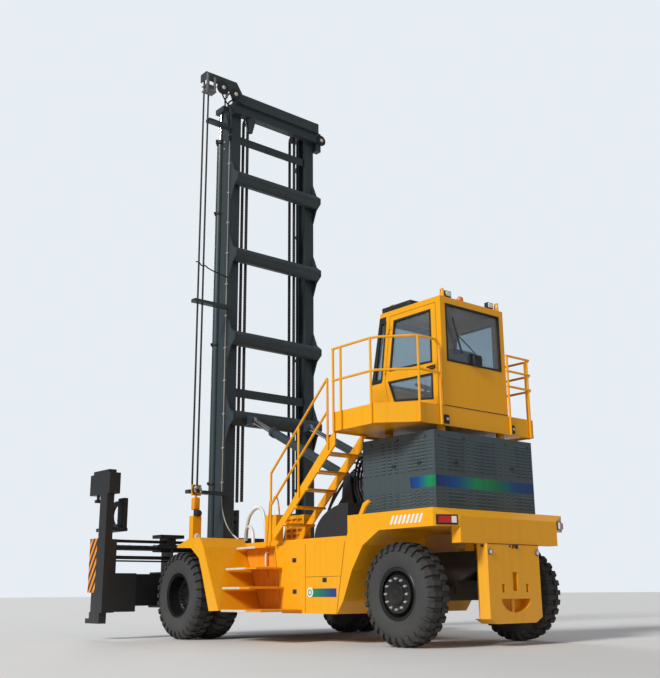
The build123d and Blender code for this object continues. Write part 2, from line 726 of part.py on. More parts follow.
def cab_inside():
    """Seat and steering column, as they show through the glass."""
    floor = FLOOR_TOP + CAB_WALL
    seat = box(-80, 380, -240, 240, floor + 380, floor + 500)
    seat += side_plate(
        [(-80, floor + 500), (20, floor + 500), (-90, floor + 1130), (-180, floor + 1130)], -220, 220
    )
    seat += box(-20, 320, -170, 170, floor, floor + 380)
    save("seat", seat)
    column = side_plate(
        [(620, floor), (760, floor), (690, floor + 620), (620, floor + 620)], -60, 60
    )
    tilt = Plane(origin=(600, 0, floor + 690), z_dir=(-0.45, 0, 0.9))
    column += bar((655, 0, floor + 600), (600, 0, floor + 690), 25)
    column += tilt * Cylinder(190, 25) - tilt * Cylinder(160, 40) + tilt * Box(330, 40, 20)
    save("steering_column", column)


def roof_unit():
    part = box(230, 820, -420, 420, CAB_TOP, CAB_TOP + 80)
    save("roof_unit", part)


# Stairs and rails
STAIR_TOP = (STAIR_X, 2960)
STAIR_IN, STAIR_OUT = BODY_HALF - 430, BODY_HALF + 140
TREADS = 5


def stairs():
    """Two stringers and five treads from the deck to the platform."""
    rise = STAIR_TOP[1] - STAIR_FOOT[1]
    run = STAIR_FOOT[0] - STAIR_TOP[0]
    deep = 170
    stringer = [
        (STAIR_FOOT[0] - 90, DECK_TOP),
        (STAIR_FOOT[0] + 60, DECK_TOP),
        (STAIR_TOP[0] + 30, PLATFORM_LOW - 5 + deep / 4),
        (STAIR_TOP[0] + 5, PLATFORM_LOW - 5 + deep / 4),
        (STAIR_TOP[0] + 5, PLATFORM_LOW - deep),
    ]
    part = side_plate(stringer, STAIR_OUT - 25, STAIR_OUT) + side_plate(stringer, STAIR_IN, STAIR_IN + 25)
    for n in range(1, TREADS + 1):
        z = DECK_TOP + rise * n / (TREADS + 1)
        x = STAIR_FOOT[0] - run * n / (TREADS + 1)
        part += box(x - 150, x + 60, STAIR_IN, STAIR_OUT, z - 30, z)
    save("stairs", part)


def access_steps():
    """Four treads beside the front fender, wider towards the ground, with their back panel."""
    # height, outer edge, rear end
    treads = (
        (1420, BODY_HALF + 180, STEP_REAR),
        (1090, BODY_HALF + 490, STEP_REAR - 195),
        (800, BODY_HALF + 643, STEP_REAR - 237),
        (470, BODY_HALF + 760, STEP_REAR - 690),
    )
    panel = [
        (WHEELBASE - 1260, 440),
        (WHEELBASE - 920, 1140),
        (WHEELBASE - 795, TANK_TOP),
        (TANK_FRONT_TOP + 15, TANK_TOP),
        (TANK_FRONT_LOW + 15, 440),
    ]
    part = side_plate(panel, BODY_HALF - 60, BODY_HALF)
    for z, outer, rear in treads:
        front = WHEELBASE - 1270 + 0.4845 * (z - 460)
        part += box(rear, front, BODY_HALF, outer, z - 25, z)
    save("access_steps", part)


def outside(before, corner, after, gap):
    """Where a rail turns when it runs at a gap outside an outline's corner."""
    into = (Vector(*corner) - Vector(*before)).normalized()
    out = (Vector(*after) - Vector(*corner)).normalized()
    reach = gap / cos(radians(into.get_angle(out) / 2))
    place = Vector(*corner) + (into - out).normalized() * reach
    return (place.X, place.Y)


def handrails():
    """Guard rails outside the platform's skirt, their posts running down to its lower edge."""
    gap = RAIL_TUBE_R + BEARING
    rear_x = PLATFORM_REAR - gap
    y_left, y_right = PLATFORM_LEFT + gap, -PLATFORM_RIGHT - gap
    right_corner, rear_corner, left_corner, front_corner = PLATFORM_PLAN[:4]
    turn_rear = outside((PLATFORM_REAR, 0), rear_corner, left_corner, gap)
    turn_left = outside(rear_corner, left_corner, front_corner, gap)
    front = (front_corner[0] - 10, y_left)
    left = Part()
    top = [(rear_x, 780, PLATFORM_LOW), (rear_x, 780, HANDRAIL_TOP)]
    top += [(x, y, HANDRAIL_TOP) for x, y in (turn_rear, turn_left, front)]
    left += pipe(top, RAIL_TUBE_R, 70)
    left += pipe([(x, y, HANDRAIL_MID) for x, y in ((rear_x, 780), turn_rear, turn_left, front)], RAIL_TUBE_R, 30)
    for x, y in (turn_rear, (turn_left[0] + 60, y_left), (front[0] - 20, y_left), (750, y_left)):
        left += tube((x, y, PLATFORM_LOW), (x, y, HANDRAIL_TOP), POST_R)
    right = Part()
    for z in (HANDRAIL_MID, (HANDRAIL_MID + HANDRAIL_TOP) / 2, HANDRAIL_TOP):
        right += pipe([(rear_x, -700, z), (rear_x, y_right, z), (1000, y_right, z)], RAIL_TUBE_R, 60)
    for x, y in ((rear_x, -720), (rear_x, y_right + 110), (rear_x + 120, y_right), (300, y_right), (980, y_right)):
        right += tube((x, y, PLATFORM_LOW), (x, y, HANDRAIL_TOP), POST_R)
    save("handrails", group(left, right))
    y = STAIR_OUT + POST_R
    slope = (STAIR_TOP[1] - STAIR_FOOT[1]) / (STAIR_FOOT[0] - STAIR_TOP[0])

    def nosing(x):
        return DECK_TOP + slope * (STAIR_FOOT[0] - x)

    foot_x, top_x = STAIR_FOOT[0] - 40, STAIR_TOP[0] + 150
    stair_rails = Part()
    for height in (500, 1000):
        stair_rails += pipe(
            [(foot_x, y, nosing(foot_x) + height), (top_x, y, nosing(top_x) + height)], RAIL_TUBE_R, 50
        )
    for x in (foot_x, (foot_x + top_x) / 2, top_x):
        stair_rails += tube((x, y, nosing(x) - 60), (x, y, nosing(x) + 1000), POST_R)
    save("stair_rails", stair_rails)


def front_posts():
    """Lamp and mirror posts on the front fenders."""
    rear, front = FRAME_FRONT - 150, FRAME_FRONT - 30
    inner, outer = FRONT_OUTER - 360, FRONT_OUTER - 200
    slope = (FENDER_TOP - FENDER_NOSE) / (FRAME_FRONT - FENDER_CREST)
    foot_rear = FENDER_NOSE + (FRAME_FRONT - rear) * slope
    foot_front = FENDER_NOSE + (FRAME_FRONT - front) * slope
    top = FENDER_TOP + 385
    post = side_plate([(rear, foot_rear), (front, foot_front), (front, top), (rear, top)], inner, outer)
    mid = (rear + front) / 2
    post += bar((mid, outer - 80, top), (mid, outer - 80, top + 340), 18)
    post += box(mid - 15, mid + 15, inner - 10, outer + 10, top + 340, top + 520)
    save("front_posts", group(post, other_side(post)))


def tail_lamps():
    """Lamp blocks in their frames on the slab's clipped corners, and round lamps on the weight."""
    mid_x = SLAB_REAR + CORNER_X / 2
    mid_y = BODY_HALF - CORNER_Y / 2
    turn = degrees(atan2(CORNER_X, CORNER_Y))
    lamp = Pos(-6, 0, 0) * Box(12, 300, 130) + Pos(-24, 0, 0) * Box(26, 250, 85)
    lamp = Pos(mid_x, mid_y, 1622) * Rot(0, 0, -turn) * lamp
    small = bar((WEIGHT_REAR, 495, 1222), (WEIGHT_REAR - 22, 495, 1222), 40)
    save("tail_lamps", group(lamp, other_side(lamp), small, other_side(small)))


# Mast
def outer_rail():
    """Channel open towards the middle, with a plate flared back round each cross tube."""
    front = MAST_REAR + MAST_DEPTH
    web = MAST_OUT - MAST_FLANGE
    rail = box(MAST_REAR, front, web, MAST_OUT, MAST_LOW, MAST_TOP)
    for x in (MAST_REAR, front - MAST_FLANGE):
        rail += box(x, x + MAST_FLANGE, MAST_IN, MAST_OUT, MAST_LOW, MAST_TOP)
    for z in TUBE_ZS:
        rail += side_plate(
            [
                (MAST_REAR + 5, z - 450),
                (MAST_REAR + 5, z + 450),
                (TUBE_X - 10, z + TUBE_R + 25),
                (TUBE_X - TUBE_R - 5, z + 60),
                (TUBE_X - TUBE_R - 5, z - 60),
                (TUBE_X - 10, z - TUBE_R - 25),
            ],
            FLARE_IN,
            MAST_OUT,
        )
    for x0, x1 in ((INNER_X0, INNER_X0 + INNER_FLANGE), (INNER_X1 - INNER_FLANGE, INNER_X1)):
        rail += box(x0, x1, INNER_OUT + BEARING, web, MAST_TOP - 320, MAST_TOP - 20)
    rail += box(front - MAST_FLANGE - INNER_GAP + BEARING, front - MAST_FLANGE, 840, 960, MAST_TOP - 320, MAST_TOP - 20)
    rail += box(front - 5, LIFT_X + 95, 905, 1095, MAST_LOW + 60, MAST_LOW + 130)
    return rail


def mast_tubes():
    """Cross tubes, the top beam, the foot beam with its hinge ears, and the tilt cylinders' ears."""
    span = FLARE_IN
    parts = []
    for z in TUBE_ZS:
        cross = Pos(TUBE_X, -span, z) * extrude(Plane.XZ * RegularPolygon(TUBE_R, 20), 2 * span, dir=(0, 1, 0))
        for y0, y1 in ((MAST_IN, span + 1), (-span - 1, -MAST_IN)):
            cross -= box(MAST_REAR, MAST_REAR + TUBE_R, y0, y1, z - TUBE_R - 1, z + TUBE_R + 1)
        if z == TUBE_ZS[0]:
            for y in (-1, 1):
                for inner in (EYE_Y - 70, EYE_Y + 35):
                    low, high = sorted((y * inner, y * (inner + 35)))
                    cross += side_plate(
                        [(TUBE_X, z + 120), (EYE_X, EYE_Z + 68), (EYE_X, EYE_Z - 68), (TUBE_X, z - 130)],
                        low,
                        high,
                    )
                    cross += bar((EYE_X, low, EYE_Z), (EYE_X, high, EYE_Z), 68)
                cross += bar(
                    (EYE_X, y * (EYE_Y - 75), EYE_Z), (EYE_X, y * (EYE_Y + 75), EYE_Z), TILT_PIN_R
                )
        parts.append(cross)
    beam = box(MAST_REAR - 190, MAST_REAR, -MAST_OUT, MAST_OUT, MAST_TOP + 50, MAST_TOP + 260)
    beam += box(MAST_REAR - 130, MAST_REAR, -MAST_OUT, MAST_OUT, MAST_TOP - 140, MAST_TOP + 50)
    lamp = Pos(MAST_REAR - 80, 640, MAST_TOP - 320) * Cone(45, 105, 260)
    beam += lamp + Pos(MAST_REAR - 80, 640, MAST_TOP - 165) * Cylinder(60, 60)
    parts.append(beam)
    foot = box(MAST_REAR - 50, MAST_REAR, -MAST_OUT, MAST_OUT, 860, 1300)
    for y in (-1, 1):
        low, high = sorted((y * 500, y * 540))
        foot += side_plate(
            [(MAST_REAR - 40, 880), (PIVOT_X, PIVOT_Z - 70), (PIVOT_X, PIVOT_Z + 70), (MAST_REAR - 40, 1280)], low, high
        )
        foot += bar((PIVOT_X, low, PIVOT_Z), (PIVOT_X, high, PIVOT_Z), 70)
        foot -= bar((PIVOT_X, low - 1, PIVOT_Z), (PIVOT_X, high + 1, PIVOT_Z), PIVOT_R + BEARING)
    parts.append(foot)
    save("mast_tubes", group(*parts))


def lift_barrel():
    """Lift cylinder in front of the rail, on its foot and held by straps."""
    base = MAST_LOW + 130
    part = bar((LIFT_X, LIFT_Y, base), (LIFT_X, LIFT_Y, BARREL_TOP), LIFT_BARREL_R)
    part -= bar((LIFT_X, LIFT_Y, base + 60), (LIFT_X, LIFT_Y, BARREL_TOP + 1), LIFT_ROD_R + BEARING)
    front = MAST_REAR + MAST_DEPTH
    for z in (0.26 * MAST_TOP, 0.52 * MAST_TOP, 0.785 * MAST_TOP):
        strap = box(front, LIFT_X, LIFT_Y - 60, LIFT_Y - 40 + 60, z, z + 60)
        part += strap - bar((LIFT_X, LIFT_Y, z - 1), (LIFT_X, LIFT_Y, z + 61), LIFT_BARREL_R - 4)
    return part


def hose_arm():
    """Arm at the top left with the hoses' sheaves, guides lower down, and a sheave block at the top right."""
    low, high = MAST_TOP + 260, MAST_TOP + 455
    outline = [
        (MAST_OUT - 90, MAST_TOP + 60),
        (MAST_OUT - 90, low),
        (MAST_OUT + 40, high),
        (HOSE_END, high - 10),
        (HOSE_END, low + 20),
        (MAST_OUT + 230, low),
        (MAST_OUT + 130, MAST_TOP + 40),
        (MAST_OUT + BEARING, MAST_TOP + 40),
        (MAST_OUT + BEARING, MAST_TOP + 60),
    ]
    plate_x = MAST_REAR - 190 - BEARING
    arm = cross_plate(outline, plate_x - 22, plate_x)
    arm += box(plate_x - 22, MAST_REAR - 10, MAST_OUT + 40, HOSE_END, high - 34, high - 10)
    arm += box(plate_x - 22, MAST_REAR - 10, HOSE_END - 22, HOSE_END, low + 20, high - 10)
    for y, z, radius in ((MAST_OUT + 380, low - 60, 125), (MAST_OUT + 90, MAST_TOP + 160, 105)):
        arm += tube((plate_x - 60, y, z), (plate_x - 22, y, z), radius)
        arm += tube((plate_x - 75, y, z), (plate_x - 10, y, z), 30)
    arm += box(plate_x - 22, plate_x, MAST_OUT + 340, MAST_OUT + 420, low - 90, low + 30)
    guide = box(HOSE_X - 20, MAST_REAR + 60, MAST_OUT, HOSE_END + 10, GUIDE_Z, GUIDE_Z + 60)
    foot = box(HOSE_X - 20, MAST_REAR + 60, MAST_OUT, HOSE_END + 10, HOSE_FOOT_Z, HOSE_FOOT_Z + 60)
    stay = box(HOSE_X - 20, MAST_REAR + 60, MAST_OUT, HOSE_YS[0] - 30, MAST_TOP - 480, MAST_TOP - 420)
    block = box(MAST_REAR - 110, MAST_REAR + 30, -MAST_OUT - 120, -MAST_OUT, MAST_TOP - 320, MAST_TOP + 100)
    sheave_y = -MAST_OUT - 115
    block += tube((MAST_REAR - 135, sheave_y, MAST_TOP - 60), (MAST_REAR - 110, sheave_y, MAST_TOP - 60), 110)
    return group(arm, guide, foot, stay, block)


def mast_hoses():
    arm = hose_arm()
    save("hose_arm", arm)
    hoses = [
        tube((HOSE_X, y, HOSE_FOOT_Z + 60), (HOSE_X, y, GUIDE_Z), 17) for y in HOSE_YS
    ]
    hoses += [
        tube((HOSE_X, y, GUIDE_Z + 60), (HOSE_X, y, MAST_TOP + 455 - 34), 17) for y in HOSE_YS
    ]
    save("mast_hoses", group(*hoses))


# Inner mast
INNER_X0 = MAST_REAR + MAST_FLANGE + INNER_GAP
INNER_X1 = MAST_REAR + MAST_DEPTH - MAST_FLANGE - INNER_GAP
INNER_WEB_Y = 905
INNER_IN, INNER_OUT = MAST_IN + 15, MAST_OUT - MAST_FLANGE - INNER_GAP


def inner_rail():
    """I section that runs inside the outer channel."""
    rail = box(INNER_X0, INNER_X1, INNER_WEB_Y - 10, INNER_WEB_Y + 10, INNER_LOW, INNER_TOP)
    for x in (INNER_X0, INNER_X1 - INNER_FLANGE):
        rail += box(x, x + INNER_FLANGE, INNER_IN, INNER_OUT, INNER_LOW, INNER_TOP)
    for x0, x1 in ((MAST_REAR + MAST_FLANGE + BEARING, INNER_X0), (INNER_X1, INNER_X1 + INNER_GAP - BEARING)):
        rail += box(x0, x1, 840, 960, INNER_LOW + 20, INNER_LOW + 320)
    return rail


def inner_ties():
    """Top beam over the inner rails, flat ties behind the carriage and the lift rods' arms."""
    top = box(INNER_X0, INNER_X1, -INNER_OUT, INNER_OUT, INNER_TOP, INNER_TOP + 150)
    for y in (-1, 1):
        low, high = sorted((y * 880, y * (LIFT_Y + 90)))
        top += box(INNER_X1 - 40, LIFT_X + 90, low, high, INNER_TOP + 20, INNER_TOP + 130)
    parts = [top]
    for z in (0.15 * INNER_TOP, 0.42 * INNER_TOP, 0.69 * INNER_TOP, 0.93 * INNER_TOP):
        parts.append(box(INNER_X0, INNER_X0 + INNER_FLANGE, -INNER_IN, INNER_IN, z, z + 160))
    save("inner_ties", group(*parts))


def lift_rod():
    low = MAST_LOW + 130 + 80
    return bar((LIFT_X, LIFT_Y, low), (LIFT_X, LIFT_Y, INNER_TOP + 20), LIFT_ROD_R)


def mast_chain():
    """Leaf chain run inside the rail, and the sheave it turns over."""
    x, y, radius = MAST_REAR + 160, 590, 75
    part = tube((x, y - 30, INNER_TOP - 120), (x, y + 30, INNER_TOP - 120), radius)
    part += box(x - 50, x + 50, y - 12, y + 12, INNER_TOP - 120, INNER_TOP)
    for run_x in (x - radius, x + radius):
        part += box(run_x - 10, run_x + 10, y - 28, y + 28, 2300, INNER_TOP - 120)
    return part


# Carriage and spreader
def carriage():
    """Side plates with rollers, joined by front plates and the bar the spreader hangs on."""
    part = Part()
    roller_x = (INNER_X0 + INNER_X1) / 2
    roller_r = (INNER_X1 - INNER_X0) / 2 - INNER_FLANGE - BEARING
    inside = INNER_WEB_Y - 10 - 8
    for y in (-1, 1):
        low, high = sorted((y * CARRIAGE_PLATE_IN, y * CARRIAGE_PLATE_OUT))
        part += side_plate(
            [
                (roller_x - 70, CARRIAGE_LOW),
                (CARRIAGE_FRONT, CARRIAGE_LOW),
                (CARRIAGE_FRONT, 1500),
                (CARRIAGE_FRONT - 180, CARRIAGE_TOP),
                (roller_x - 70, CARRIAGE_TOP),
            ],
            low,
            high,
        )
        for z in (CARRIAGE_LOW + 150, CARRIAGE_TOP - 150):
            part += bar((roller_x, y * CARRIAGE_PLATE_OUT, z), (roller_x, y * inside, z), roller_r)
    for z0, z1 in ((CARRIAGE_LOW + 20, CARRIAGE_LOW + 220), (BAR_LOW - 180, BAR_TOP)):
        part += box(CARRIAGE_FRONT, BAR_FRONT, -900, 900, z0, z1)
    save("carriage", part)


def spreader_frame():
    """Sleeve box for the two beams, round sleeves above, and the hooks on the carriage's bar."""
    low, high = BEAM_LOW - BEAM_GAP - SLEEVE_WALL, BEAM_TOP + BEAM_GAP + SLEEVE_WALL
    part = box(SLEEVE_X0, SLEEVE_X1, -SLEEVE_HALF, SLEEVE_HALF, low, high)
    for x0 in (BEAM_REAR, BEAM_FRONT):
        part -= box(
            x0 - BEAM_GAP, x0 + BEAM_T + BEAM_GAP, -SLEEVE_HALF - 1, SLEEVE_HALF + 1,
            BEAM_LOW - BEAM_GAP, BEAM_TOP + BEAM_GAP,
        )
    for x in (BEAM_REAR + BEAM_T / 2, BEAM_FRONT + BEAM_T / 2):
        part += ring_along_y(x, TIE_Z, -SLEEVE_HALF, SLEEVE_HALF, TIE_R + 25, TIE_R + BEAM_GAP)
    for x0 in (BEAM_REAR, BEAM_FRONT):
        for y in (-1, 1):
            y0, y1 = sorted((y * (SLEEVE_HALF - 200), y * (SLEEVE_HALF - 20)))
            part += box(x0, x0 + BEAM_T, y0, y1, BEAM_LOW - BEAM_GAP, BEAM_LOW - BEARING)
    part += box(BAR_FRONT + BEARING, SLEEVE_X0, -150, 150, CARRIAGE_LOW + 40, CARRIAGE_LOW + 200)
    for y in (-1675, -600, 600, 1675):
        rib = box(SLEEVE_X0 + 20, SLEEVE_X1 - 20, y - 15, y + 15, high, TIE_Z)
        for x in (BEAM_REAR + BEAM_T / 2, BEAM_FRONT + BEAM_T / 2):
            rib -= bar((x, y - 16, TIE_Z), (x, y + 16, TIE_Z), TIE_R + 20)
        part += rib
    for y in (-1, 1):
        tower = box(SLEEVE_X0 + 70, SLEEVE_X1 - 70, y * 1675 - 90, y * 1675 + 90, TIE_Z + TIE_R, 1650)
        part += tower + box(SLEEVE_X0 + 50, SLEEVE_X1 - 50, y * 1675 - 245, y * 1675 + 225, 1650, 1710)
    for y in (-200, 200):
        part += box(HOOK_REAR, SLEEVE_X0 + 40, y - 100, y + 100, BAR_TOP + BEARING, BAR_TOP + 46)
        part += box(HOOK_REAR, HOOK_REAR + 22, y - 100, y + 100, BAR_TOP - 60, BAR_TOP + BEARING)
        part += box(SLEEVE_X0, SLEEVE_X0 + 40, y - 100, y + 100, high, BAR_TOP + 46)
    save("spreader_frame", part)


BEAM_REAR = SLEEVE_X0 + SLEEVE_WALL + BEAM_GAP
BEAM_FRONT = SLEEVE_X1 - SLEEVE_WALL - BEAM_GAP - BEAM_T
BEAM_END = -2300


def telescope(beam_x):
    """Beam and tie tube with the end post: column, neck, lock head, leg and striped guide plate."""
    tie_x = beam_x + BEAM_T / 2
    root = LOCK_Y - 107
    rear = SLEEVE_X0 - 90
    part = box(beam_x, beam_x + BEAM_T, BEAM_END, root, BEAM_LOW, BEAM_TOP)
    part += tube((tie_x, BEAM_END, TIE_Z), (tie_x, root, TIE_Z), TIE_R)
    part += box(rear, rear + 330, root - 10, END_OUT, 420, 1600)
    part += box(rear + 320, rear + 400, root - 10, END_OUT, 420, 1540)
    part += box(rear, beam_x + 10, root - 400, root, 430, 1050)
    part += box(rear, rear + 255, LOCK_Y - 27, END_OUT, 1600, POST_TOP - 350)
    part += box(rear - 60, HEAD_FRONT, LOCK_Y - 97, END_OUT, POST_TOP - 350, POST_TOP)
    part += box(rear + 30, HEAD_FRONT - 60, LOCK_Y - 60, END_OUT - 25, POST_TOP, POST_TOP + 60)
    part += box(rear + 80, rear + 440, LOCK_Y - 27, END_OUT, POST_LOW, 430)
    part += box(rear + 400, rear + 570, LOCK_Y - 27, END_OUT, POST_LOW, POST_LOW + 80)
    part += box(rear + 280, rear + 540, END_OUT - 12, END_OUT, 740, 1620)
    part -= bar((LOCK_X, LOCK_Y, POST_TOP - 360), (LOCK_X, LOCK_Y, POST_TOP - 260), LOCK_R + BEARING)
    return part


def twistlock():
    """Round shank with a pointed oblong head below."""
    head_low, head_top = POST_TOP - 470, POST_TOP - 420
    part = bar((LOCK_X, LOCK_Y, head_top), (LOCK_X, LOCK_Y, POST_TOP - 270), LOCK_R)
    part += box(LOCK_X - 28, LOCK_X + 28, LOCK_Y - 52, LOCK_Y + 52, head_low, head_top)
    return part


# Tilt cylinders
TILT_RUN = hypot(EYE_X - BASE_X, EYE_Z - BASE_Z)
TILT_UX, TILT_UZ = (EYE_X - BASE_X) / TILT_RUN, (EYE_Z - BASE_Z) / TILT_RUN
TILT_HEAD = TILT_RUN - 650


def along_tilt(distance, y=EYE_Y):
    """A point on the tilt cylinder's axis, from its base pin."""
    return (BASE_X + TILT_UX * distance, y, BASE_Z + TILT_UZ * distance)


def tilt_barrel():
    part = bar(along_tilt(110), along_tilt(TILT_HEAD), TILT_BARREL_R) + bar(along_tilt(40), along_tilt(120), 29)
    part -= bar(along_tilt(250), along_tilt(TILT_HEAD + 1), TILT_ROD_R + BEARING)
    part += bar((BASE_X, EYE_Y - 30, BASE_Z), (BASE_X, EYE_Y + 30, BASE_Z), 72)
    part += bar(along_tilt(TILT_HEAD - 90), along_tilt(TILT_HEAD), TILT_BARREL_R + 12) - bar(
        along_tilt(TILT_HEAD - 91), along_tilt(TILT_HEAD + 1), TILT_ROD_R + 1
    )
    part -= bar((BASE_X, EYE_Y - 31, BASE_Z), (BASE_X, EYE_Y + 31, BASE_Z), TILT_PIN_R + BEARING)
    return part


def tilt_rod():
    part = bar(along_tilt(600), along_tilt(TILT_RUN - 125), TILT_ROD_R)
    part += bar(along_tilt(TILT_RUN - 130), along_tilt(TILT_RUN - 45), 28)
    part += bar((EYE_X, EYE_Y - 30, EYE_Z), (EYE_X, EYE_Y + 30, EYE_Z), 66)
    part -= bar((EYE_X, EYE_Y - 61, EYE_Z), (EYE_X, EYE_Y + 61, EYE_Z), TILT_PIN_R + EYE_SLACK)
    return part


def main():
    os.makedirs("parts", exist_ok=True)
    wheels()
    drive_axle()
    steer_axle()
    chassis_frame()
    counterweight()
    rear_deck()
    front_deck()
    side_tanks()
    save("front_fenders", group(front_fender(), other_side(front_fender())))
    battery_box()
    fairing()
    hydraulics()
    cab_platform()
    cab_shell()
    cab_glass()
    cab_door()
    cab_inside()
    roof_unit()
    stairs()
    access_steps()
    handrails()
    front_posts()
    tail_lamps()
    save("mast_rails", group(outer_rail(), other_side(outer_rail())))
    mast_tubes()
    save("lift_barrels", group(lift_barrel(), other_side(lift_barrel())))
    mast_hoses()
    save("inner_rails", group(inner_rail(), other_side(inner_rail())))
    inner_ties()
    save("lift_rods", group(lift_rod(), other_side(lift_rod())))
    save("mast_chains", group(mast_chain(), other_side(mast_chain())))
    carriage()
    spreader_frame()
    save("telescope_left", telescope(BEAM_REAR))
    save("telescope_right", other_side(telescope(BEAM_FRONT)))
    sides = (("left", lambda part: part), ("right", other_side))
    for side, turn in sides:
        save(f"knuckle_{side}", turn(knuckle()))
        save(f"twistlock_{side}", turn(twistlock()))
        save(f"tilt_barrel_{side}", turn(tilt_barrel()))
        save(f"tilt_rod_{side}", turn(tilt_rod()))


main()
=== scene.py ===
from math import atan2, cos, pi, radians, sin, sqrt

import bpy
from mathutils import Matrix, Vector


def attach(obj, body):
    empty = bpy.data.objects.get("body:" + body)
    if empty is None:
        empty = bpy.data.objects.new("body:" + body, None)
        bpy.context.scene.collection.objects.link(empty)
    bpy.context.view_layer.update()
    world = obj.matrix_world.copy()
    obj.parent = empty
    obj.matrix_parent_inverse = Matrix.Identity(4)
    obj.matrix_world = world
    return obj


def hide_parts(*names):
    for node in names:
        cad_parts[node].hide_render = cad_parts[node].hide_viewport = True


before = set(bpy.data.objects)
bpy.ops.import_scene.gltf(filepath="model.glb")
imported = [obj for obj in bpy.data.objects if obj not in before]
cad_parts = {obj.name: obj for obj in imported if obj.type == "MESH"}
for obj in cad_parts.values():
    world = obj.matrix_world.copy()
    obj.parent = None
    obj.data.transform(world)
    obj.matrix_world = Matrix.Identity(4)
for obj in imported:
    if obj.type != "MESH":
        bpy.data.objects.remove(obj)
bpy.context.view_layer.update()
bpy.ops.object.select_all(action="DESELECT")
scene = bpy.context.scene

# The machine's sizes are taken from the steering axle, which stands here in the row frame.
STEER_X = -2.4475
WHEELBASE = 4.3
DRIVE_X = STEER_X + WHEELBASE
AXLE_Z = 0.685


# Shared effects
def effect_group(name, inputs, outputs):
    """A node group with named float or colour sockets, and its inner tree's ends."""
    group = bpy.data.node_groups.new(name, "ShaderNodeTree")
    for label, kind, value in inputs:
        socket = group.interface.new_socket(label, in_out="INPUT", socket_type="NodeSocket" + kind)
        if value is not None:
            socket.default_value = value
    for label, kind in outputs:
        group.interface.new_socket(label, in_out="OUTPUT", socket_type="NodeSocket" + kind)
    return group, group.nodes.new("NodeGroupInput"), group.nodes.new("NodeGroupOutput")


def feed(tree, node, inputs):
    """Link a node's inputs to sockets, or set them to values."""
    for key, value in dict(inputs).items():
        if isinstance(value, bpy.types.NodeSocket):
            tree.links.new(value, node.inputs[key])
        else:
            node.inputs[key].default_value = value


def add(tree, kind, inputs=(), **settings):
    """A node with its settings made and its inputs set or linked."""
    node = tree.nodes.new("ShaderNode" + kind)
    for key, value in settings.items():
        setattr(node, key, value)
    feed(tree, node, inputs)
    return node


def blend_colour(tree, factor, below, above, mode="MIX"):
    """Mix two colours and give back the result's socket."""
    node = add(tree, "Mix", data_type="RGBA", blend_type=mode)
    feed(tree, node, {0: factor, 6: below, 7: above})
    return node.outputs[2]


def arithmetic(operation):
    """One operation of a maths node, as a function of sockets and numbers."""
    def result(*values, clamp=False):
        tree = next(value.id_data for value in values if isinstance(value, bpy.types.NodeSocket))
        return add(tree, "Math", enumerate(values), operation=operation, use_clamp=clamp).outputs[0]
    return result


times, plus, minus, divided = map(arithmetic, ("MULTIPLY", "ADD", "SUBTRACT", "DIVIDE"))
exceeds, under, larger = map(arithmetic, ("GREATER_THAN", "LESS_THAN", "MAXIMUM"))
fraction, magnitude, square_root, sine = map(arithmetic, ("FRACT", "ABSOLUTE", "SQRT", "SINE"))


def object_place(tree):
    return add(tree, "TexCoord").outputs["Object"]


def yard_dust():
    """Pale dust that thins out with height and lies in patches."""
    group, ins, outs = effect_group(
        "yard_dust",
        (
            ("Colour", "Color", None),
            ("Dust", "Color", (0.42, 0.37, 0.3, 1)),
            ("Reach", "Float", 1.2),
            ("Amount", "Float", 0.35),
        ),
        (("Colour", "Color"), ("Mask", "Float")),
    )
    place = object_place(group)
    height = add(group, "SeparateXYZ", {0: place})
    low = divided(height.outputs["Z"], ins.outputs["Reach"])
    low = minus(1.0, low, clamp=True)
    patches = add(group, "TexNoise", {"Vector": place, "Scale": 3.2, "Detail": 6.0, "Roughness": 0.62})
    mask = times(low, patches.outputs["Fac"])
    mask = times(mask, ins.outputs["Amount"], clamp=True)
    dusted = blend_colour(group, mask, ins.outputs["Colour"], ins.outputs["Dust"])
    feed(group, outs, {"Colour": dusted, "Mask": mask})
    return group


def rain_marks():
    """Faint dark runs down a panel and a slow change of tone over it."""
    group, ins, outs = effect_group(
        "rain_marks",
        (("Colour", "Color", None), ("Runs", "Float", 0.15), ("Tone", "Float", 0.08)),
        (("Colour", "Color"), ("Mask", "Float")),
    )
    place = object_place(group)
    stretched = add(group, "Mapping", {"Vector": place, "Scale": (9.0, 9.0, 0.55)})
    runs = add(group, "TexNoise", {"Vector": stretched.outputs[0], "Scale": 1.6, "Detail": 5.0})
    runs = minus(runs.outputs["Fac"], 0.48, clamp=True)
    runs = times(runs, ins.outputs["Runs"])
    runs = times(runs, 4.0, clamp=True)
    tone = add(group, "TexNoise", {"Vector": place, "Scale": 0.9, "Detail": 2.0})
    tone = minus(tone.outputs["Fac"], 0.5)
    tone = times(tone, ins.outputs["Tone"])
    tone = plus(tone, 1.0)
    grey = add(group, "CombineColor", {0: tone, 1: tone, 2: tone})
    toned = blend_colour(group, 1.0, ins.outputs["Colour"], grey.outputs[0], "MULTIPLY")
    dark = blend_colour(group, 1.0, toned, (0.32, 0.27, 0.22, 1), "MULTIPLY")
    feed(group, outs, {"Colour": blend_colour(group, runs, toned, dark), "Mask": runs})
    return group


def fine_skin():
    """Small bumps of a paint film, casting or rubber."""
    group, ins, outs = effect_group(
        "fine_skin",
        (("Scale", "Float", 260.0), ("Height", "Float", 0.05)),
        (("Normal", "Vector"), ("Mask", "Float")),
    )
    place = object_place(group)
    bumps = add(group, "TexNoise", {"Vector": place, "Scale": ins.outputs["Scale"], "Detail": 3.0})
    bump = add(
        group, "Bump", {"Height": bumps.outputs["Fac"], "Strength": ins.outputs["Height"], "Distance": 0.01}
    )
    feed(group, outs, {"Normal": bump.outputs[0], "Mask": bumps.outputs["Fac"]})
    return group


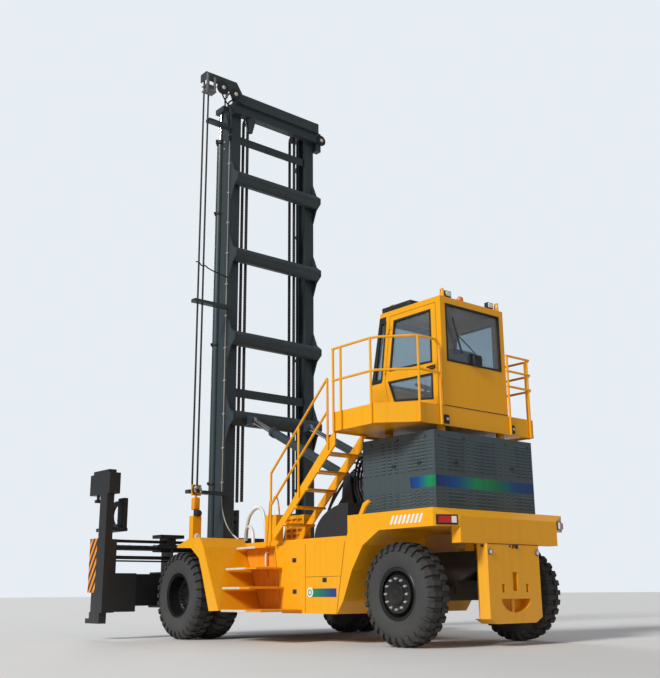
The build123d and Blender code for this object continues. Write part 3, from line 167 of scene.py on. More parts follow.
DUST, RUNS, SKIN = yard_dust(), rain_marks(), fine_skin()


def place_group(tree, group, inputs):
    """A shared effect placed in a material, its inputs set or linked."""
    return add(tree, "Group", inputs, node_tree=group)


# Finishes
def bare_finish(name, colour):
    finish = bpy.data.materials.new(name)
    finish.use_nodes = True
    finish.diffuse_color = (*colour, 1)
    tree = finish.node_tree
    return finish, tree, tree.nodes["Principled BSDF"]


def weathered(name, colour, rough, metallic=0.0, coat=0.0, runs=0.15, tone=0.08, reach=1.2, dust=0.3,
              skin=260.0, height=0.04, pattern=None, spread=0.12):
    """A surface with tone, runs and dust over its own colour or a painted pattern."""
    finish, tree, shader = bare_finish(name, colour)
    start = pattern(tree) if pattern else None
    marks = place_group(tree, RUNS, {"Runs": runs, "Tone": tone, "Colour": start or (*colour, 1)})
    dusty = place_group(tree, DUST, {"Colour": marks.outputs["Colour"], "Reach": reach, "Amount": dust})
    grain = place_group(tree, SKIN, {"Scale": skin, "Height": height})
    worn = plus(dusty.outputs["Mask"], marks.outputs["Mask"])
    worn = times(worn, 0.5)
    varied = times(grain.outputs["Mask"], spread)
    worn = plus(worn, varied)
    worn = plus(worn, rough - spread / 2, clamp=True)
    feed(tree, shader, {
        "Base Color": dusty.outputs["Colour"], "Normal": grain.outputs["Normal"], "Roughness": worn,
        "Metallic": metallic, "Specular IOR Level": 0.4, "Coat Weight": coat, "Coat Roughness": 0.08,
    })
    return finish


def object_axes(tree):
    return add(tree, "SeparateXYZ", {0: object_place(tree)}).outputs


def between(value, low, high):
    """1 where the value lies between two limits."""
    return times(exceeds(value, low), under(value, high))


BATTERY_SIDE = 1.045
BATTERY_REAR = STEER_X - 0.512
COVER_SIDE = 1.357
YELLOW = (0.84, 0.375, 0.002)
SLATE = (0.052, 0.074, 0.082)


def scaled(colour, factor):
    """A colour made darker or lighter."""
    return (*(part * factor for part in colour), 1)


def battery_band(tree):
    """Blue and green band round the battery box's left and rear sides, over louvre slots drawn with painted
    shade and painted highlights.
    """
    axes = object_axes(tree)
    along_rear = add(tree, "MapRange", {"Value": axes["Y"], "From Min": 1.05, "From Max": -1.05})
    along_left = add(tree, "MapRange", {"Value": axes["X"], "From Min": STEER_X, "From Max": STEER_X - 0.5})
    on_left = exceeds(axes["Y"], BATTERY_SIDE)
    left_tone = times(along_left.outputs[0], 0.5)
    along = add(tree, "Mix", {"Factor": on_left, "A": along_rear.outputs[0], "B": left_tone})
    ramp = add(tree, "ValToRGB", {"Fac": along.outputs[0]})
    ramp.color_ramp.elements[0].color = (0.003, 0.02, 0.13, 1)
    ramp.color_ramp.elements[1].color = (0.003, 0.03, 0.15, 1)
    for at, colour in (
        (0.2, (0.0, 0.06, 0.24, 1)), (0.40, (0.0, 0.24, 0.08, 1)), (0.55, (0.0, 0.17, 0.045, 1)),
        (0.8, (0.0, 0.045, 0.17, 1))
    ):
        ramp.color_ramp.elements.new(at).color = colour
    slant = times(axes["Z"], 0.12)
    start = minus(axes["X"], slant)
    side = under(start, STEER_X - 0.29)
    side = times(side, on_left)
    on_rear = under(axes["X"], BATTERY_REAR)
    shown = larger(side, on_rear)
    shown = times(shown, between(axes["Z"], 2.095, 2.25))
    # Louvre slots: a darker band is painted shade inside each slit, and a lighter band below it is a painted
    # highlight on the louvre's lip.
    rows = fraction(divided(minus(2.775, axes["Z"]), 0.048))
    row = under(rows, 0.3)
    lip_painted_highlight = between(rows, 0.3, 0.48)
    on_side = exceeds(magnitude(axes["Y"]), BATTERY_SIDE)
    run = times(axes["X"], on_side)
    across = minus(1.0, on_side)
    run = plus(run, times(axes["Y"], across))
    column = exceeds(fraction(divided(run, 0.135)), 0.42)
    rows_low = between(axes["Z"], 1.83, 2.06)
    rows_high = between(axes["Z"], 2.33, 2.77)
    zone = times(larger(rows_low, rows_high), column)
    facing = larger(on_side, on_rear)
    zone = times(zone, facing)
    # Painted shade in the slits, then painted highlights on the lips.
    louvres_painted_shade_and_highlight = blend_colour(tree, times(row, zone), (*SLATE, 1), scaled(SLATE, 0.45))
    louvres_painted_shade_and_highlight = blend_colour(tree, times(lip_painted_highlight, zone), louvres_painted_shade_and_highlight, scaled(SLATE, 1.7))
    return blend_colour(tree, shown, louvres_painted_shade_and_highlight, ramp.outputs[0])


def guide_stripes(tree):
    """Slanted orange and black stripes on the outer face of the end posts' guide plates."""
    axes = object_axes(tree)
    slanted = times(axes["X"], 1.5)
    slanted = plus(axes["Z"], slanted)
    step = fraction(divided(slanted, 0.2))
    stripe = exceeds(step, 0.5)
    colour = blend_colour(tree, stripe, (0.02, 0.02, 0.022, 1), (0.85, 0.27, 0.01, 1))
    outer = exceeds(magnitude(axes["Y"]), 3.0285)
    zone = times(outer, between(axes["Z"], 0.74, 1.622))
    zone = times(zone, between(axes["X"], 5.44 + STEER_X, 5.72 + STEER_X))
    return blend_colour(tree, zone, (0.016, 0.018, 0.02, 1), colour)


def tank_seams(tree):
    """Dark joints between the tank's covers, with the shut lines of its doors."""
    axes = object_axes(tree)
    outer = exceeds(magnitude(axes["Y"]), COVER_SIDE)
    joint = between(axes["X"], 1.927 + STEER_X, 1.934 + STEER_X)
    other = between(axes["X"], 2.717 + STEER_X, 2.724 + STEER_X)
    line = between(axes["Z"], 0.935, 0.941)
    line = times(line, under(axes["X"], 1.93 + STEER_X))
    shown = larger(larger(joint, other), line)
    shown = times(shown, outer)
    return blend_colour(tree, shown, (*YELLOW, 1), (0.02, 0.014, 0.008, 1))


def plate_fade(tree):
    """Green at the front of the plate, fading to blue at its rear."""
    axes = object_axes(tree)
    fade = add(tree, "MapRange", {"Value": axes["X"], "From Min": STEER_X + 1.75, "From Max": STEER_X + 1.3})
    return blend_colour(tree, fade.outputs[0], (0.0, 0.22, 0.085, 1), (0.005, 0.045, 0.2, 1))


def slab_stripes(tree):
    """Eight slanted pale stripes on the slab's left and right bands."""
    axes = object_axes(tree)
    lean = times(minus(axes["Z"], 1.66), 0.5)
    slanted = plus(axes["X"], lean)
    first, pitch = STEER_X - 0.57, 0.078
    step = fraction(divided(minus(slanted, first), pitch))
    stripe = exceeds(step, 0.45)
    side = exceeds(magnitude(axes["Y"]), COVER_SIDE)
    zone = between(slanted, first, first + 8 * pitch)
    zone = times(zone, between(axes["Z"], 1.60, 1.715))
    shown = times(times(stripe, side), zone)
    return blend_colour(tree, shown, (*YELLOW, 1), (0.75, 0.75, 0.72, 1))


def tail_lamp_colours(tree):
    """Dark frames, red lenses with a pale inner end, and the small round lamps' rims and lenses."""
    axes = object_axes(tree)
    turn = atan2(0.16, 0.34)
    along = minus(axes["X"], STEER_X - 0.82)
    across = minus(magnitude(axes["Y"]), 1.19)
    out = minus(times(across, sin(turn)), times(along, cos(turn)))
    length = plus(times(across, cos(turn)), times(along, sin(turn)))
    lens = blend_colour(tree, under(length, -0.055), (0.42, 0.012, 0.008, 1), (0.72, 0.70, 0.66, 1))
    square = blend_colour(tree, exceeds(out, 0.0125), (0.02, 0.02, 0.022, 1), lens)
    aside = minus(magnitude(axes["Y"]), 0.495)
    above = minus(axes["Z"], 1.222)
    reach = plus(times(aside, aside), times(above, above))
    disc = blend_colour(tree, under(reach, 0.028 ** 2), (0.12, 0.12, 0.12, 1), (0.75, 0.74, 0.72, 1))
    return blend_colour(tree, under(axes["Z"], 1.35), square, disc)


def black_pillars(tree):
    """Gloss black front pillars that carry the windscreen's look round to the quarter panes."""
    axes = object_axes(tree)
    lean = 0.1344
    leant = plus(axes["X"], times(axes["Z"], lean))
    front = exceeds(leant, 0.873 + lean * 3.83 + STEER_X)
    zone = times(front, between(axes["Z"], 3.80, 4.83))
    return blend_colour(tree, zone, (*YELLOW, 1), (0.014, 0.018, 0.024, 1))


def dark_towers(tree):
    """The tilt cylinders' towers on the deck are dark, the deck and its boxes yellow."""
    axes = object_axes(tree)
    inside = under(magnitude(axes["Y"]), 0.755)
    zone = times(inside, exceeds(axes["Z"], 1.503))
    return blend_colour(tree, zone, (*YELLOW, 1), (0.02, 0.022, 0.024, 1))


def chain_links(tree):
    """Link plates up the mast chains, with painted shade in the gaps between them."""
    axes = object_axes(tree)
    step = fraction(divided(axes["Z"], 0.051))
    gap_painted_shade = exceeds(step, 0.68)
    # Painted shade: the gaps between the link plates are darkened.
    return blend_colour(tree, gap_painted_shade, (0.11, 0.105, 0.10, 1), (0.012, 0.011, 0.01, 1))


CLEAN_COAT = {"coat": 0.15, "runs": 0.06, "reach": 1.1, "dust": 0.07}
yellow = weathered("machine_yellow", YELLOW, 0.36, coat=0.12, runs=0.1, reach=1.1, dust=0.1)
slate = weathered("battery_slate", SLATE, 0.42, coat=0.1, runs=0.2, pattern=battery_band, dust=0.1)
mast_slate = weathered("mast_slate", (0.028, 0.042, 0.048), 0.42, coat=0.1, runs=0.25, dust=0.14)
tank_yellow = weathered("tank_yellow", YELLOW, 0.33, **CLEAN_COAT, pattern=tank_seams)
slab_yellow = weathered("slab_yellow", YELLOW, 0.33, **CLEAN_COAT, pattern=slab_stripes)
shell_yellow = weathered("shell_yellow", YELLOW, 0.33, **CLEAN_COAT, pattern=black_pillars)
deck_yellow = weathered(
    "deck_yellow", YELLOW, 0.36, coat=0.2, runs=0.1, reach=1.1, dust=0.2, pattern=dark_towers
)
# A darker, more orange copy of the machine yellow, as painted shade for the recessed steps; the studs, grab
# pole and post guards share it.
step_yellow_painted_shade = weathered("step_yellow_painted_shade", (0.80, 0.30, 0.004), 0.45, runs=0.2, reach=1.6, dust=0.12)
nosing_pale = weathered("nosing_pale", (0.62, 0.60, 0.55), 0.6, runs=0.3, dust=0.3)
handle_white = weathered("handle_white", (0.75, 0.75, 0.73), 0.4, runs=0.1, dust=0.2)
plate_green = weathered("plate_green", (0.0, 0.2, 0.09), 0.35, runs=0.1, dust=0.1, pattern=plate_fade)
frame_black = weathered("frame_black", (0.014, 0.015, 0.016), 0.55, runs=0.2, dust=0.4, reach=1.6)
spreader_black = weathered(
    "spreader_black", (0.014, 0.015, 0.016), 0.4, coat=0.1, dust=0.05, pattern=guide_stripes
)
rim_black = weathered("rim_black", (0.005, 0.005, 0.006), 0.28, coat=0.2, dust=0.04)
plastic_black = weathered("cover_black", (0.02, 0.02, 0.022), 0.62, skin=500.0, height=0.12, dust=0.15)
hose_black = weathered("hose_black", (0.012, 0.012, 0.013), 0.5, skin=700.0, height=0.06)
rod_chrome = weathered("rod_chrome", (0.6, 0.6, 0.6), 0.12, metallic=1.0, runs=0.05, dust=0.0, height=0.01)
chain_steel = weathered("chain_steel", (0.11, 0.1, 0.1), 0.42, metallic=0.7, dust=0.1, pattern=chain_links)
nut_steel = weathered("nut_steel", (0.66, 0.64, 0.61), 0.38, metallic=0.55, runs=0.2, dust=0.15)
sleeve_grey = weathered("sleeve_grey", (0.38, 0.36, 0.32), 0.5, runs=0.3, dust=0.1)
bracket_grey = weathered("bracket_grey", (0.16, 0.17, 0.17), 0.45, runs=0.3, dust=0.1)
mirror_glass = weathered(
    "mirror_glass", (0.55, 0.62, 0.70), 0.06, metallic=1.0, runs=0.05, dust=0.0, height=0.005
)
seal_rubber = weathered("seal_rubber", (0.016, 0.016, 0.017), 0.7, skin=600.0, height=0.08, dust=0.05)
seat_cloth = weathered("seat_cloth", (0.03, 0.03, 0.033), 0.9, skin=900.0, height=0.4, dust=0.0)


def tyre_rubber(name, axle_x):
    """Black rubber, greyer on the side walls, with moulded rings round the axle."""
    finish, tree, shader = bare_finish(name, (0.03, 0.03, 0.031))
    axes = object_axes(tree)
    across = minus(axes["X"], axle_x)
    upward = minus(axes["Z"], AXLE_Z)
    radius = square_root(plus(times(across, across), times(upward, upward)))
    wall = under(radius, 0.6)
    base = blend_colour(tree, wall, (0.014, 0.014, 0.015, 1), (0.03, 0.031, 0.033, 1))
    dusty = place_group(
        tree, DUST, {"Colour": base, "Reach": 1.9, "Amount": 0.28, "Dust": (0.2, 0.19, 0.17, 1)}
    )
    rings = times(sine(times(radius, 210.0)), between(radius, 0.355, 0.42))
    skin = place_group(tree, SKIN, {"Scale": 180.0, "Height": 0.12})
    below = skin.outputs["Normal"]
    bump = add(tree, "Bump", {"Height": rings, "Strength": 0.5, "Distance": 0.004, "Normal": below})
    feed(tree, shader, {"Base Color": dusty.outputs["Colour"], "Normal": bump.outputs[0], "Roughness": 0.82})
    return finish


def clear_glass():
    finish, tree, shader = bare_finish("cab_glass", (0.4, 0.5, 0.55))
    marks = place_group(tree, RUNS, {"Colour": (0.50, 0.60, 0.66, 1), "Runs": 0.05, "Tone": 0.05})
    tint = marks.outputs["Colour"]
    feed(tree, shader, {"Base Color": tint, "Roughness": 0.03, "Transmission Weight": 0.9, "IOR": 1.45})
    return finish


def lamp_lens(name, colour):
    finish, tree, shader = bare_finish(name, colour)
    place = object_place(tree)
    ribs = add(tree, "TexChecker", {"Vector": place, "Scale": 120.0}).outputs["Fac"]
    bump = add(tree, "Bump", {"Height": ribs, "Strength": 0.3, "Distance": 0.003})
    # Alternate facets darkened: painted shade for the way the lens ribs catch the light.
    shade = blend_colour(tree, ribs, (*colour, 1), scaled(colour, 0.8))
    feed(tree, shader, {
        "Base Color": shade, "Normal": bump.outputs[0], "Roughness": 0.15, "Coat Weight": 0.6,
    })
    return finish


steer_rubber = tyre_rubber("steer_tyre_rubber", STEER_X)
drive_rubber = tyre_rubber("drive_tyre_rubber", DRIVE_X)
glass = clear_glass()
amber_lens = lamp_lens("amber_lens", (0.75, 0.12, 0.01))
tail_lens = weathered("tail_lens", (0.42, 0.012, 0.008), 0.18, coat=0.6, dust=0.15, pattern=tail_lamp_colours)
white_lens = lamp_lens("white_lens", (0.8, 0.8, 0.78))

FINISHES = (
    (slab_yellow, ("rear_deck",)),
    (tank_yellow, ("side_tanks",)),
    (shell_yellow, ("cab_shell",)),
    (deck_yellow, ("front_deck",)),
    (yellow, ("front_fenders", "counterweight", "cab_platform", "cab_door",
              "stairs", "handrails", "stair_rails", "front_posts")),
    # The access steps take the darker copy of the yellow as painted shade.
    (step_yellow_painted_shade, ("access_steps",)),
    (slate, ("battery_box",)),
    (mast_slate, ("mast_rails", "mast_tubes", "inner_rails", "inner_ties", "carriage", "hose_arm",
                  "lift_barrels", "tilt_barrel_left", "tilt_barrel_right")),
    (spreader_black, ("spreader_frame", "telescope_left", "telescope_right")),
    (frame_black, ("chassis_frame", "drive_axle", "steer_axle", "knuckle_left", "knuckle_right",
                   "hydraulics")),
    (rim_black, ("front_rims_left", "front_rims_right", "rear_rim_left", "rear_rim_right")),
    (drive_rubber, ("front_tyres_left", "front_tyres_right")),
    (steer_rubber, ("rear_tyre_left", "rear_tyre_right")),
    (rod_chrome, ("lift_rods", "tilt_rod_left", "tilt_rod_right")),
    (chain_steel, ("mast_chains", "twistlock_left", "twistlock_right")),
    (hose_black, ("mast_hoses",)),
    (plastic_black, ("fairing", "roof_unit", "steering_column")),
    (seat_cloth, ("seat",)),
    (glass, ("cab_glass", "door_glass")),
    (tail_lens, ("tail_lamps",)),
)
for finish, nodes in FINISHES:
    for node in nodes:
        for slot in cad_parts[node].material_slots:
            slot.material = finish


# Modelling helpers: sizes in metres from the ground under the steering axle
def spot(x, y, z):
    """A place in the row frame, measured from the steering axle."""
    return Vector((x + STEER_X, y, z))


def edit_done():
    bpy.ops.object.mode_set(mode="OBJECT")


def whole_mesh():
    """Select the whole mesh in edit mode."""
    bpy.ops.object.mode_set(mode="EDIT")
    bpy.ops.mesh.select_all(action="SELECT")


def nothing_selected():
    if bpy.context.object and bpy.context.object.mode != "OBJECT":
        edit_done()
    bpy.ops.object.select_all(action="DESELECT")


def into_mesh():
    """Move the active object's place, turn and scale into its mesh."""
    bpy.ops.object.transform_apply(location=True, rotation=True, scale=True)
    return bpy.context.object


def block(x0, x1, y0, y1, z0, z1, bevel=0.004, segments=2):
    """A block with rounded edges."""
    nothing_selected()
    middle = spot((x0 + x1) / 2, (y0 + y1) / 2, (z0 + z1) / 2)
    bpy.ops.mesh.primitive_cube_add(size=1, location=middle, scale=(x1 - x0, y1 - y0, z1 - z0))
    made = into_mesh()
    whole_mesh()
    bpy.ops.mesh.bevel(offset=bevel, segments=segments, affect="EDGES")
    edit_done()
    return made


def picked(made, test):
    """Select the faces whose middle and normal pass a test, and stay in edit mode."""
    bpy.context.view_layer.objects.active = made
    bpy.ops.object.mode_set(mode="EDIT")
    bpy.ops.mesh.select_mode(type="FACE")
    bpy.ops.mesh.select_all(action="DESELECT")
    edit_done()
    for face in made.data.polygons:
        face.select = test(face.center, face.normal)
    bpy.ops.object.mode_set(mode="EDIT")


def rod(start, end, radius, sides=16, crown=0.15):
    """A round or many-sided bar between two points, its ends drawn in a little."""
    nothing_selected()
    a, b = spot(*start), spot(*end)
    run = b - a
    bpy.ops.mesh.primitive_cylinder_add(
        vertices=sides, radius=radius, depth=run.length, location=(a + b) / 2,
        rotation=run.to_track_quat("Z", "Y").to_euler(),
    )
    made = into_mesh()
    way = run.normalized()
    picked(made, lambda place, normal: abs(normal.dot(way)) > 0.9)
    bpy.ops.mesh.inset(thickness=radius * crown, depth=radius * crown * 0.5, use_individual=True)
    edit_done()
    return made


def traced(places):
    """A chain of points, left in edit mode with all of it selected."""
    nothing_selected()
    bpy.ops.mesh.primitive_plane_add(size=0.01, location=places[0])
    made = into_mesh()
    bpy.ops.object.mode_set(mode="EDIT")
    bpy.ops.mesh.select_mode(type="VERT")
    whole_mesh()
    bpy.ops.mesh.merge(type="CENTER")
    for before, after in zip(places, places[1:]):
        bpy.ops.mesh.extrude_region_move(TRANSFORM_OT_translate={"value": after - before})
    whole_mesh()
    return made


def spun(profile, centre, axis, steps=48):
    """A turned piece: points of (reach along the axis, radius) swept round it."""
    middle = spot(*centre)
    along = Vector(axis).normalized()
    outward = Vector((0, 0, 1)) if abs(along.z) < 0.9 else Vector((1, 0, 0))
    made = traced([middle + along * reach + outward * radius for reach, radius in profile])
    bpy.ops.mesh.spin(steps=steps, angle=2 * pi, center=middle, axis=along)
    whole_mesh()
    bpy.ops.mesh.remove_doubles(threshold=0.0002)
    bpy.ops.mesh.normals_make_consistent(inside=False)
    edit_done()
    return made


def surround(corners, width, thickness):
    """A flat frame of a width inside an outline, raised by a vector."""
    made = traced([spot(*corner) for corner in corners])
    bpy.ops.mesh.edge_face_add()
    bpy.ops.mesh.select_mode(type="FACE")
    whole_mesh()
    bpy.ops.mesh.inset(thickness=width)
    bpy.ops.mesh.delete(type="FACE")
    whole_mesh()
    bpy.ops.mesh.extrude_region_move(TRANSFORM_OT_translate={"value": Vector(thickness)})
    edit_done()
    return made


def slab(corners, thickness):
    """A flat plate of an outline, raised by a vector, its edges broken."""
    made = traced([spot(*corner) for corner in corners])
    bpy.ops.mesh.edge_face_add()
    bpy.ops.mesh.extrude_region_move(TRANSFORM_OT_translate={"value": Vector(thickness)})
    whole_mesh()
    bpy.ops.mesh.normals_make_consistent(inside=False)
    bpy.ops.mesh.bevel(offset=0.002, segments=1, affect="EDGES")
    edit_done()
    return made


def bent(points, radius):
    """A hose, pipe or wire through points."""
    nothing_selected()
    data = bpy.data.curves.new("route", "CURVE")
    data.dimensions = "3D"
    data.bevel_depth = radius
    data.bevel_resolution = 2
    data.use_fill_caps = True
    data.resolution_u = 8
    line = data.splines.new("NURBS")
    line.points.add(len(points) - 1)
    for place, point in zip(line.points, points):
        place.co = (*spot(*point), 1)
    line.order_u = 3
    line.use_endpoint_u = True
    made = bpy.data.objects.new("route", data)
    scene.collection.objects.link(made)
    bpy.context.view_layer.objects.active = made
    made.select_set(True)
    bpy.ops.object.convert(target="MESH")
    return bpy.context.object


def again(made, offset=None, turn=None, centre=None, flip=False):
    """A copy with its own mesh, moved, turned like a wheel, or mirrored to the other side."""
    nothing_selected()
    made.select_set(True)
    bpy.context.view_layer.objects.active = made
    bpy.ops.object.duplicate()
    if offset is not None:
        bpy.ops.transform.translate(value=offset)
    if turn is not None:
        bpy.ops.transform.rotate(value=turn, orient_axis="Y", center_override=spot(*centre))
    if flip:
        bpy.ops.transform.mirror(constraint_axis=(False, True, False), center_override=(0, 0, 0))
    return into_mesh()


def joined(parts):
    """Several shapes made one."""
    nothing_selected()
    for part in parts:
        part.select_set(True)
    bpy.context.view_layer.objects.active = parts[0]
    if len(parts) > 1:
        bpy.ops.object.join()
    return bpy.context.object


def piece(name, parts, finish, body="chassis", angle=35, stands_for=()):
    """Join shapes into one named piece that rides on a body, the chassis if none is named."""
    made = joined(parts)
    scene.cursor.location = (0, 0, 0)
    bpy.ops.object.origin_set(type="ORIGIN_CURSOR")
    whole_mesh()
    bpy.ops.mesh.normals_make_consistent(inside=False)
    edit_done()
    bpy.ops.object.shade_smooth_by_angle(angle=radians(angle))
    made.name = name
    made.data.name = name
    made.data.materials.clear()
    made.data.materials.append(finish)
    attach(made, body)
    if stands_for:
        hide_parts(*stands_for)


def pair(name, parts, finish, body="chassis", angle=35, stands_for=()):
    """One piece on the left and its mirror image on the right; names and bodies say left."""
    left = joined(parts)
    right = again(left, flip=True)
    for made, side in ((left, "left"), (right, "right")):
        nodes = [node.replace("left", side) for node in stands_for]
        piece(name.replace("left", side), [made], finish, body.replace("left", side), angle, nodes)


# Wheels
TYRE_W = 0.375
LUGS = 30


def lugged_tyre(axle_x, outer):
    """A round-walled tyre, its staggered shoulder lugs raised out of the spun band."""
    inner = outer - TYRE_W
    base = AXLE_Z - 0.036
    profile = (
        (inner + 0.05, 0.335), (inner + 0.024, 0.355), (inner + 0.008, 0.40), (inner + 0.004, 0.47),
        (inner + 0.012, 0.54), (inner + 0.024, 0.565), (inner + 0.038, 0.62), (inner + 0.066, base),
        (inner + 0.172, base + 0.004), (outer - 0.172, base + 0.004), (outer - 0.066, base),
        (outer - 0.038, 0.62), (outer - 0.024, 0.565), (outer - 0.012, 0.54), (outer - 0.004, 0.47),
        (outer - 0.008, 0.40), (outer - 0.024, 0.355), (outer - 0.05, 0.335),
    )
    made = spun(profile, (axle_x, 0, AXLE_Z), (0, 1, 0), LUGS * 4)
    centre = spot(axle_x, (inner + outer) / 2, AXLE_Z)

    def on_lug(place, normal):
        off = place - centre
        reach = sqrt(off.x * off.x + off.z * off.z)
        turn = atan2(off.z, off.x) / (2 * pi) * LUGS + (0.25 if off.y > 0 else 0.75)
        return reach > 0.575 and abs(off.y) > 0.018 and turn % 1.0 < 0.5

    picked(made, on_lug)
    bpy.ops.mesh.extrude_region_shrink_fatten(TRANSFORM_OT_shrink_fatten={"value": 0.031})
    edit_done()
    return made


def dished_rim(axle_x, outer, dish):
    """A rim with rolled flanges, lock ring, dished disc and hub cap."""
    inner = outer - TYRE_W
    disc = outer - dish
    flange = (
        (inner + 0.03, 0.306), (inner + 0.022, 0.34), (inner + 0.028, 0.352), (inner + 0.042, 0.348),
        (inner + 0.05, 0.334), (outer - 0.05, 0.334), (outer - 0.042, 0.348), (outer - 0.028, 0.352),
        (outer - 0.022, 0.34), (outer - 0.026, 0.322), (outer - 0.034, 0.318), (outer - 0.038, 0.304),
    )
    deep = (
        (disc + 0.05, 0.298), (disc + 0.02, 0.282), (disc + 0.006, 0.245), (disc + 0.026, 0.222),
        (disc + 0.028, 0.14), (disc + 0.06, 0.125), (disc + 0.07, 0.105), (disc + 0.072, 0.0),
    )
    shallow = (
        (outer - 0.10, 0.298), (outer - 0.11, 0.285), (outer - 0.10, 0.268), (disc + 0.004, 0.258),
        (disc + 0.018, 0.25), (disc + 0.022, 0.235), (disc + 0.022, 0.15), (disc + 0.045, 0.135),
        (disc + 0.056, 0.11), (disc + 0.058, 0.05), (disc + 0.05, 0.0),
    )
    profile = flange + (shallow if dish < 0.1 else deep)
    back = ((inner + 0.03, 0.305), (disc + 0.04, 0.296), (disc - 0.008, 0.27), (disc - 0.01, 0.10))
    if dish < 0.1:
        back = ((inner + 0.03, 0.305), (inner + 0.12, 0.296), (inner + 0.13, 0.25), (inner + 0.135, 0.10))
    return [spun(shape, (axle_x, 0, AXLE_Z), (0, 1, 0), 72) for shape in (profile, back)]


def wheel_nuts(axle_x, disc, count, ring):
    """A ring of nuts with their stud ends."""
    seat = disc + 0.022
    nut = rod((axle_x + ring, seat, AXLE_Z), (axle_x + ring, seat + 0.026, AXLE_Z), 0.018, 6)
    end = rod((axle_x + ring, seat + 0.02, AXLE_Z), (axle_x + ring, seat + 0.044, AXLE_Z), 0.011, 12)
    first = joined([nut, end])
    centre = (axle_x, disc, AXLE_Z)
    return [first] + [again(first, turn=n * 2 * pi / count, centre=centre) for n in range(1, count)]


# body, tyre node, rim node, axle, (outer face, dish) of each wheel, rubber, nuts, nut finish
WHEEL_SETS = (
    ("wheel_rear_left", "rear_tyre_left", "rear_rim_left", 0.0, ((1.36, 0.05),), steer_rubber, 12, nut_steel),
    ("wheels_front_left", "front_tyres_left", "front_rims_left", WHEELBASE, ((2.15, 0.25), (1.70, 0.12)),
     drive_rubber, 20, rim_black),
)
for body, tyre_node, rim_node, axle, faces, rubber, nuts, hub in WHEEL_SETS:
    tyres = [lugged_tyre(axle, outer) for outer, dish in faces]
    rims = [shape for outer, dish in faces for shape in dished_rim(axle, outer, dish)]
    outer, dish = faces[0]
    pair(tyre_node + "_lugged", tyres, rubber, body, 32, (tyre_node,))
    pair(rim_node + "_dished", rims, rim_black, body, 30, (rim_node,))
    pair(rim_node + "_nuts", wheel_nuts(axle, outer - dish, nuts, 0.2), hub, body)


# Cab
UPPER_PANE = ((-0.205, 3.925), (0.700, 3.950), (0.575, 4.735), (-0.205, 4.735))
LOWER_PANE = ((-0.205, 3.380), (0.610, 3.470), (0.735, 3.800), (-0.205, 3.770))
QUARTER_PANE = ((0.860, 3.830), (1.045, 3.830), (0.870, 4.760), (0.735, 4.760))
REAR_PANE = (
    (-0.6, 3.925), (-0.12, 3.925), (-0.12, 4.08), (0.06, 4.08), (0.06, 3.925), (0.6, 3.925), (0.6, 4.8),
    (-0.6, 4.8),
)
CAB_Y = 0.7
CAB_REAR = -0.4
SEAL = 0.03


def side_seal(pane, way):
    """A rubber seal round a side pane, proud of the wall."""
    y = way * (CAB_Y - 0.016)
    return surround([(x, y, z) for x, z in pane], SEAL, (0, way * 0.022, 0))


def cab_seals():
    left = [side_seal(pane, 1) for pane in (UPPER_PANE, LOWER_PANE)]
    piece("door_seals", left, seal_rubber, "door")
    fixed = [side_seal(pane, -1) for pane in (UPPER_PANE, LOWER_PANE, QUARTER_PANE)]
    fixed.append(side_seal(QUARTER_PANE, 1))
    fixed.append(surround([(CAB_REAR + 0.016, y, z) for y, z in REAR_PANE], SEAL, (-0.022, 0, 0)))
    lean = (1.110 - 0.870) / (4.9 - 3.79)
    low, top = 3.83, 4.77
    corners = ((-0.62, low), (0.62, low), (0.62, top), (-0.62, top))
    front = [(1.110 - 0.014 - lean * (z - 3.79), y, z) for y, z in corners]
    fixed.append(surround(front, SEAL, (0.02, 0, 0.02 * lean)))
    piece("cab_seals", fixed, seal_rubber)


def rear_wiper():
    """Wiper motor in the pane's notch, its arm and blade."""
    motor = block(CAB_REAR - 0.05, CAB_REAR + 0.002, -0.125, 0.065, 3.92, 4.085, 0.02, 3)
    shaft = rod((CAB_REAR - 0.03, -0.02, 4.03), (CAB_REAR - 0.075, -0.02, 4.03), 0.014)
    reach = [(CAB_REAR - 0.07, -0.02, 4.03), (CAB_REAR - 0.075, 0.16, 4.17), (CAB_REAR - 0.045, 0.4, 4.33)]
    arm = bent(reach, 0.007)
    blade = block(CAB_REAR - 0.044, CAB_REAR - 0.026, 0.12, 0.68, 4.318, 4.342, 0.004)
    bpy.ops.transform.rotate(value=-1.25, orient_axis="X", center_override=spot(CAB_REAR - 0.03, 0.4, 4.33))
    blade = into_mesh()
    piece("rear_wiper", [motor, shaft, arm, blade], plastic_black)


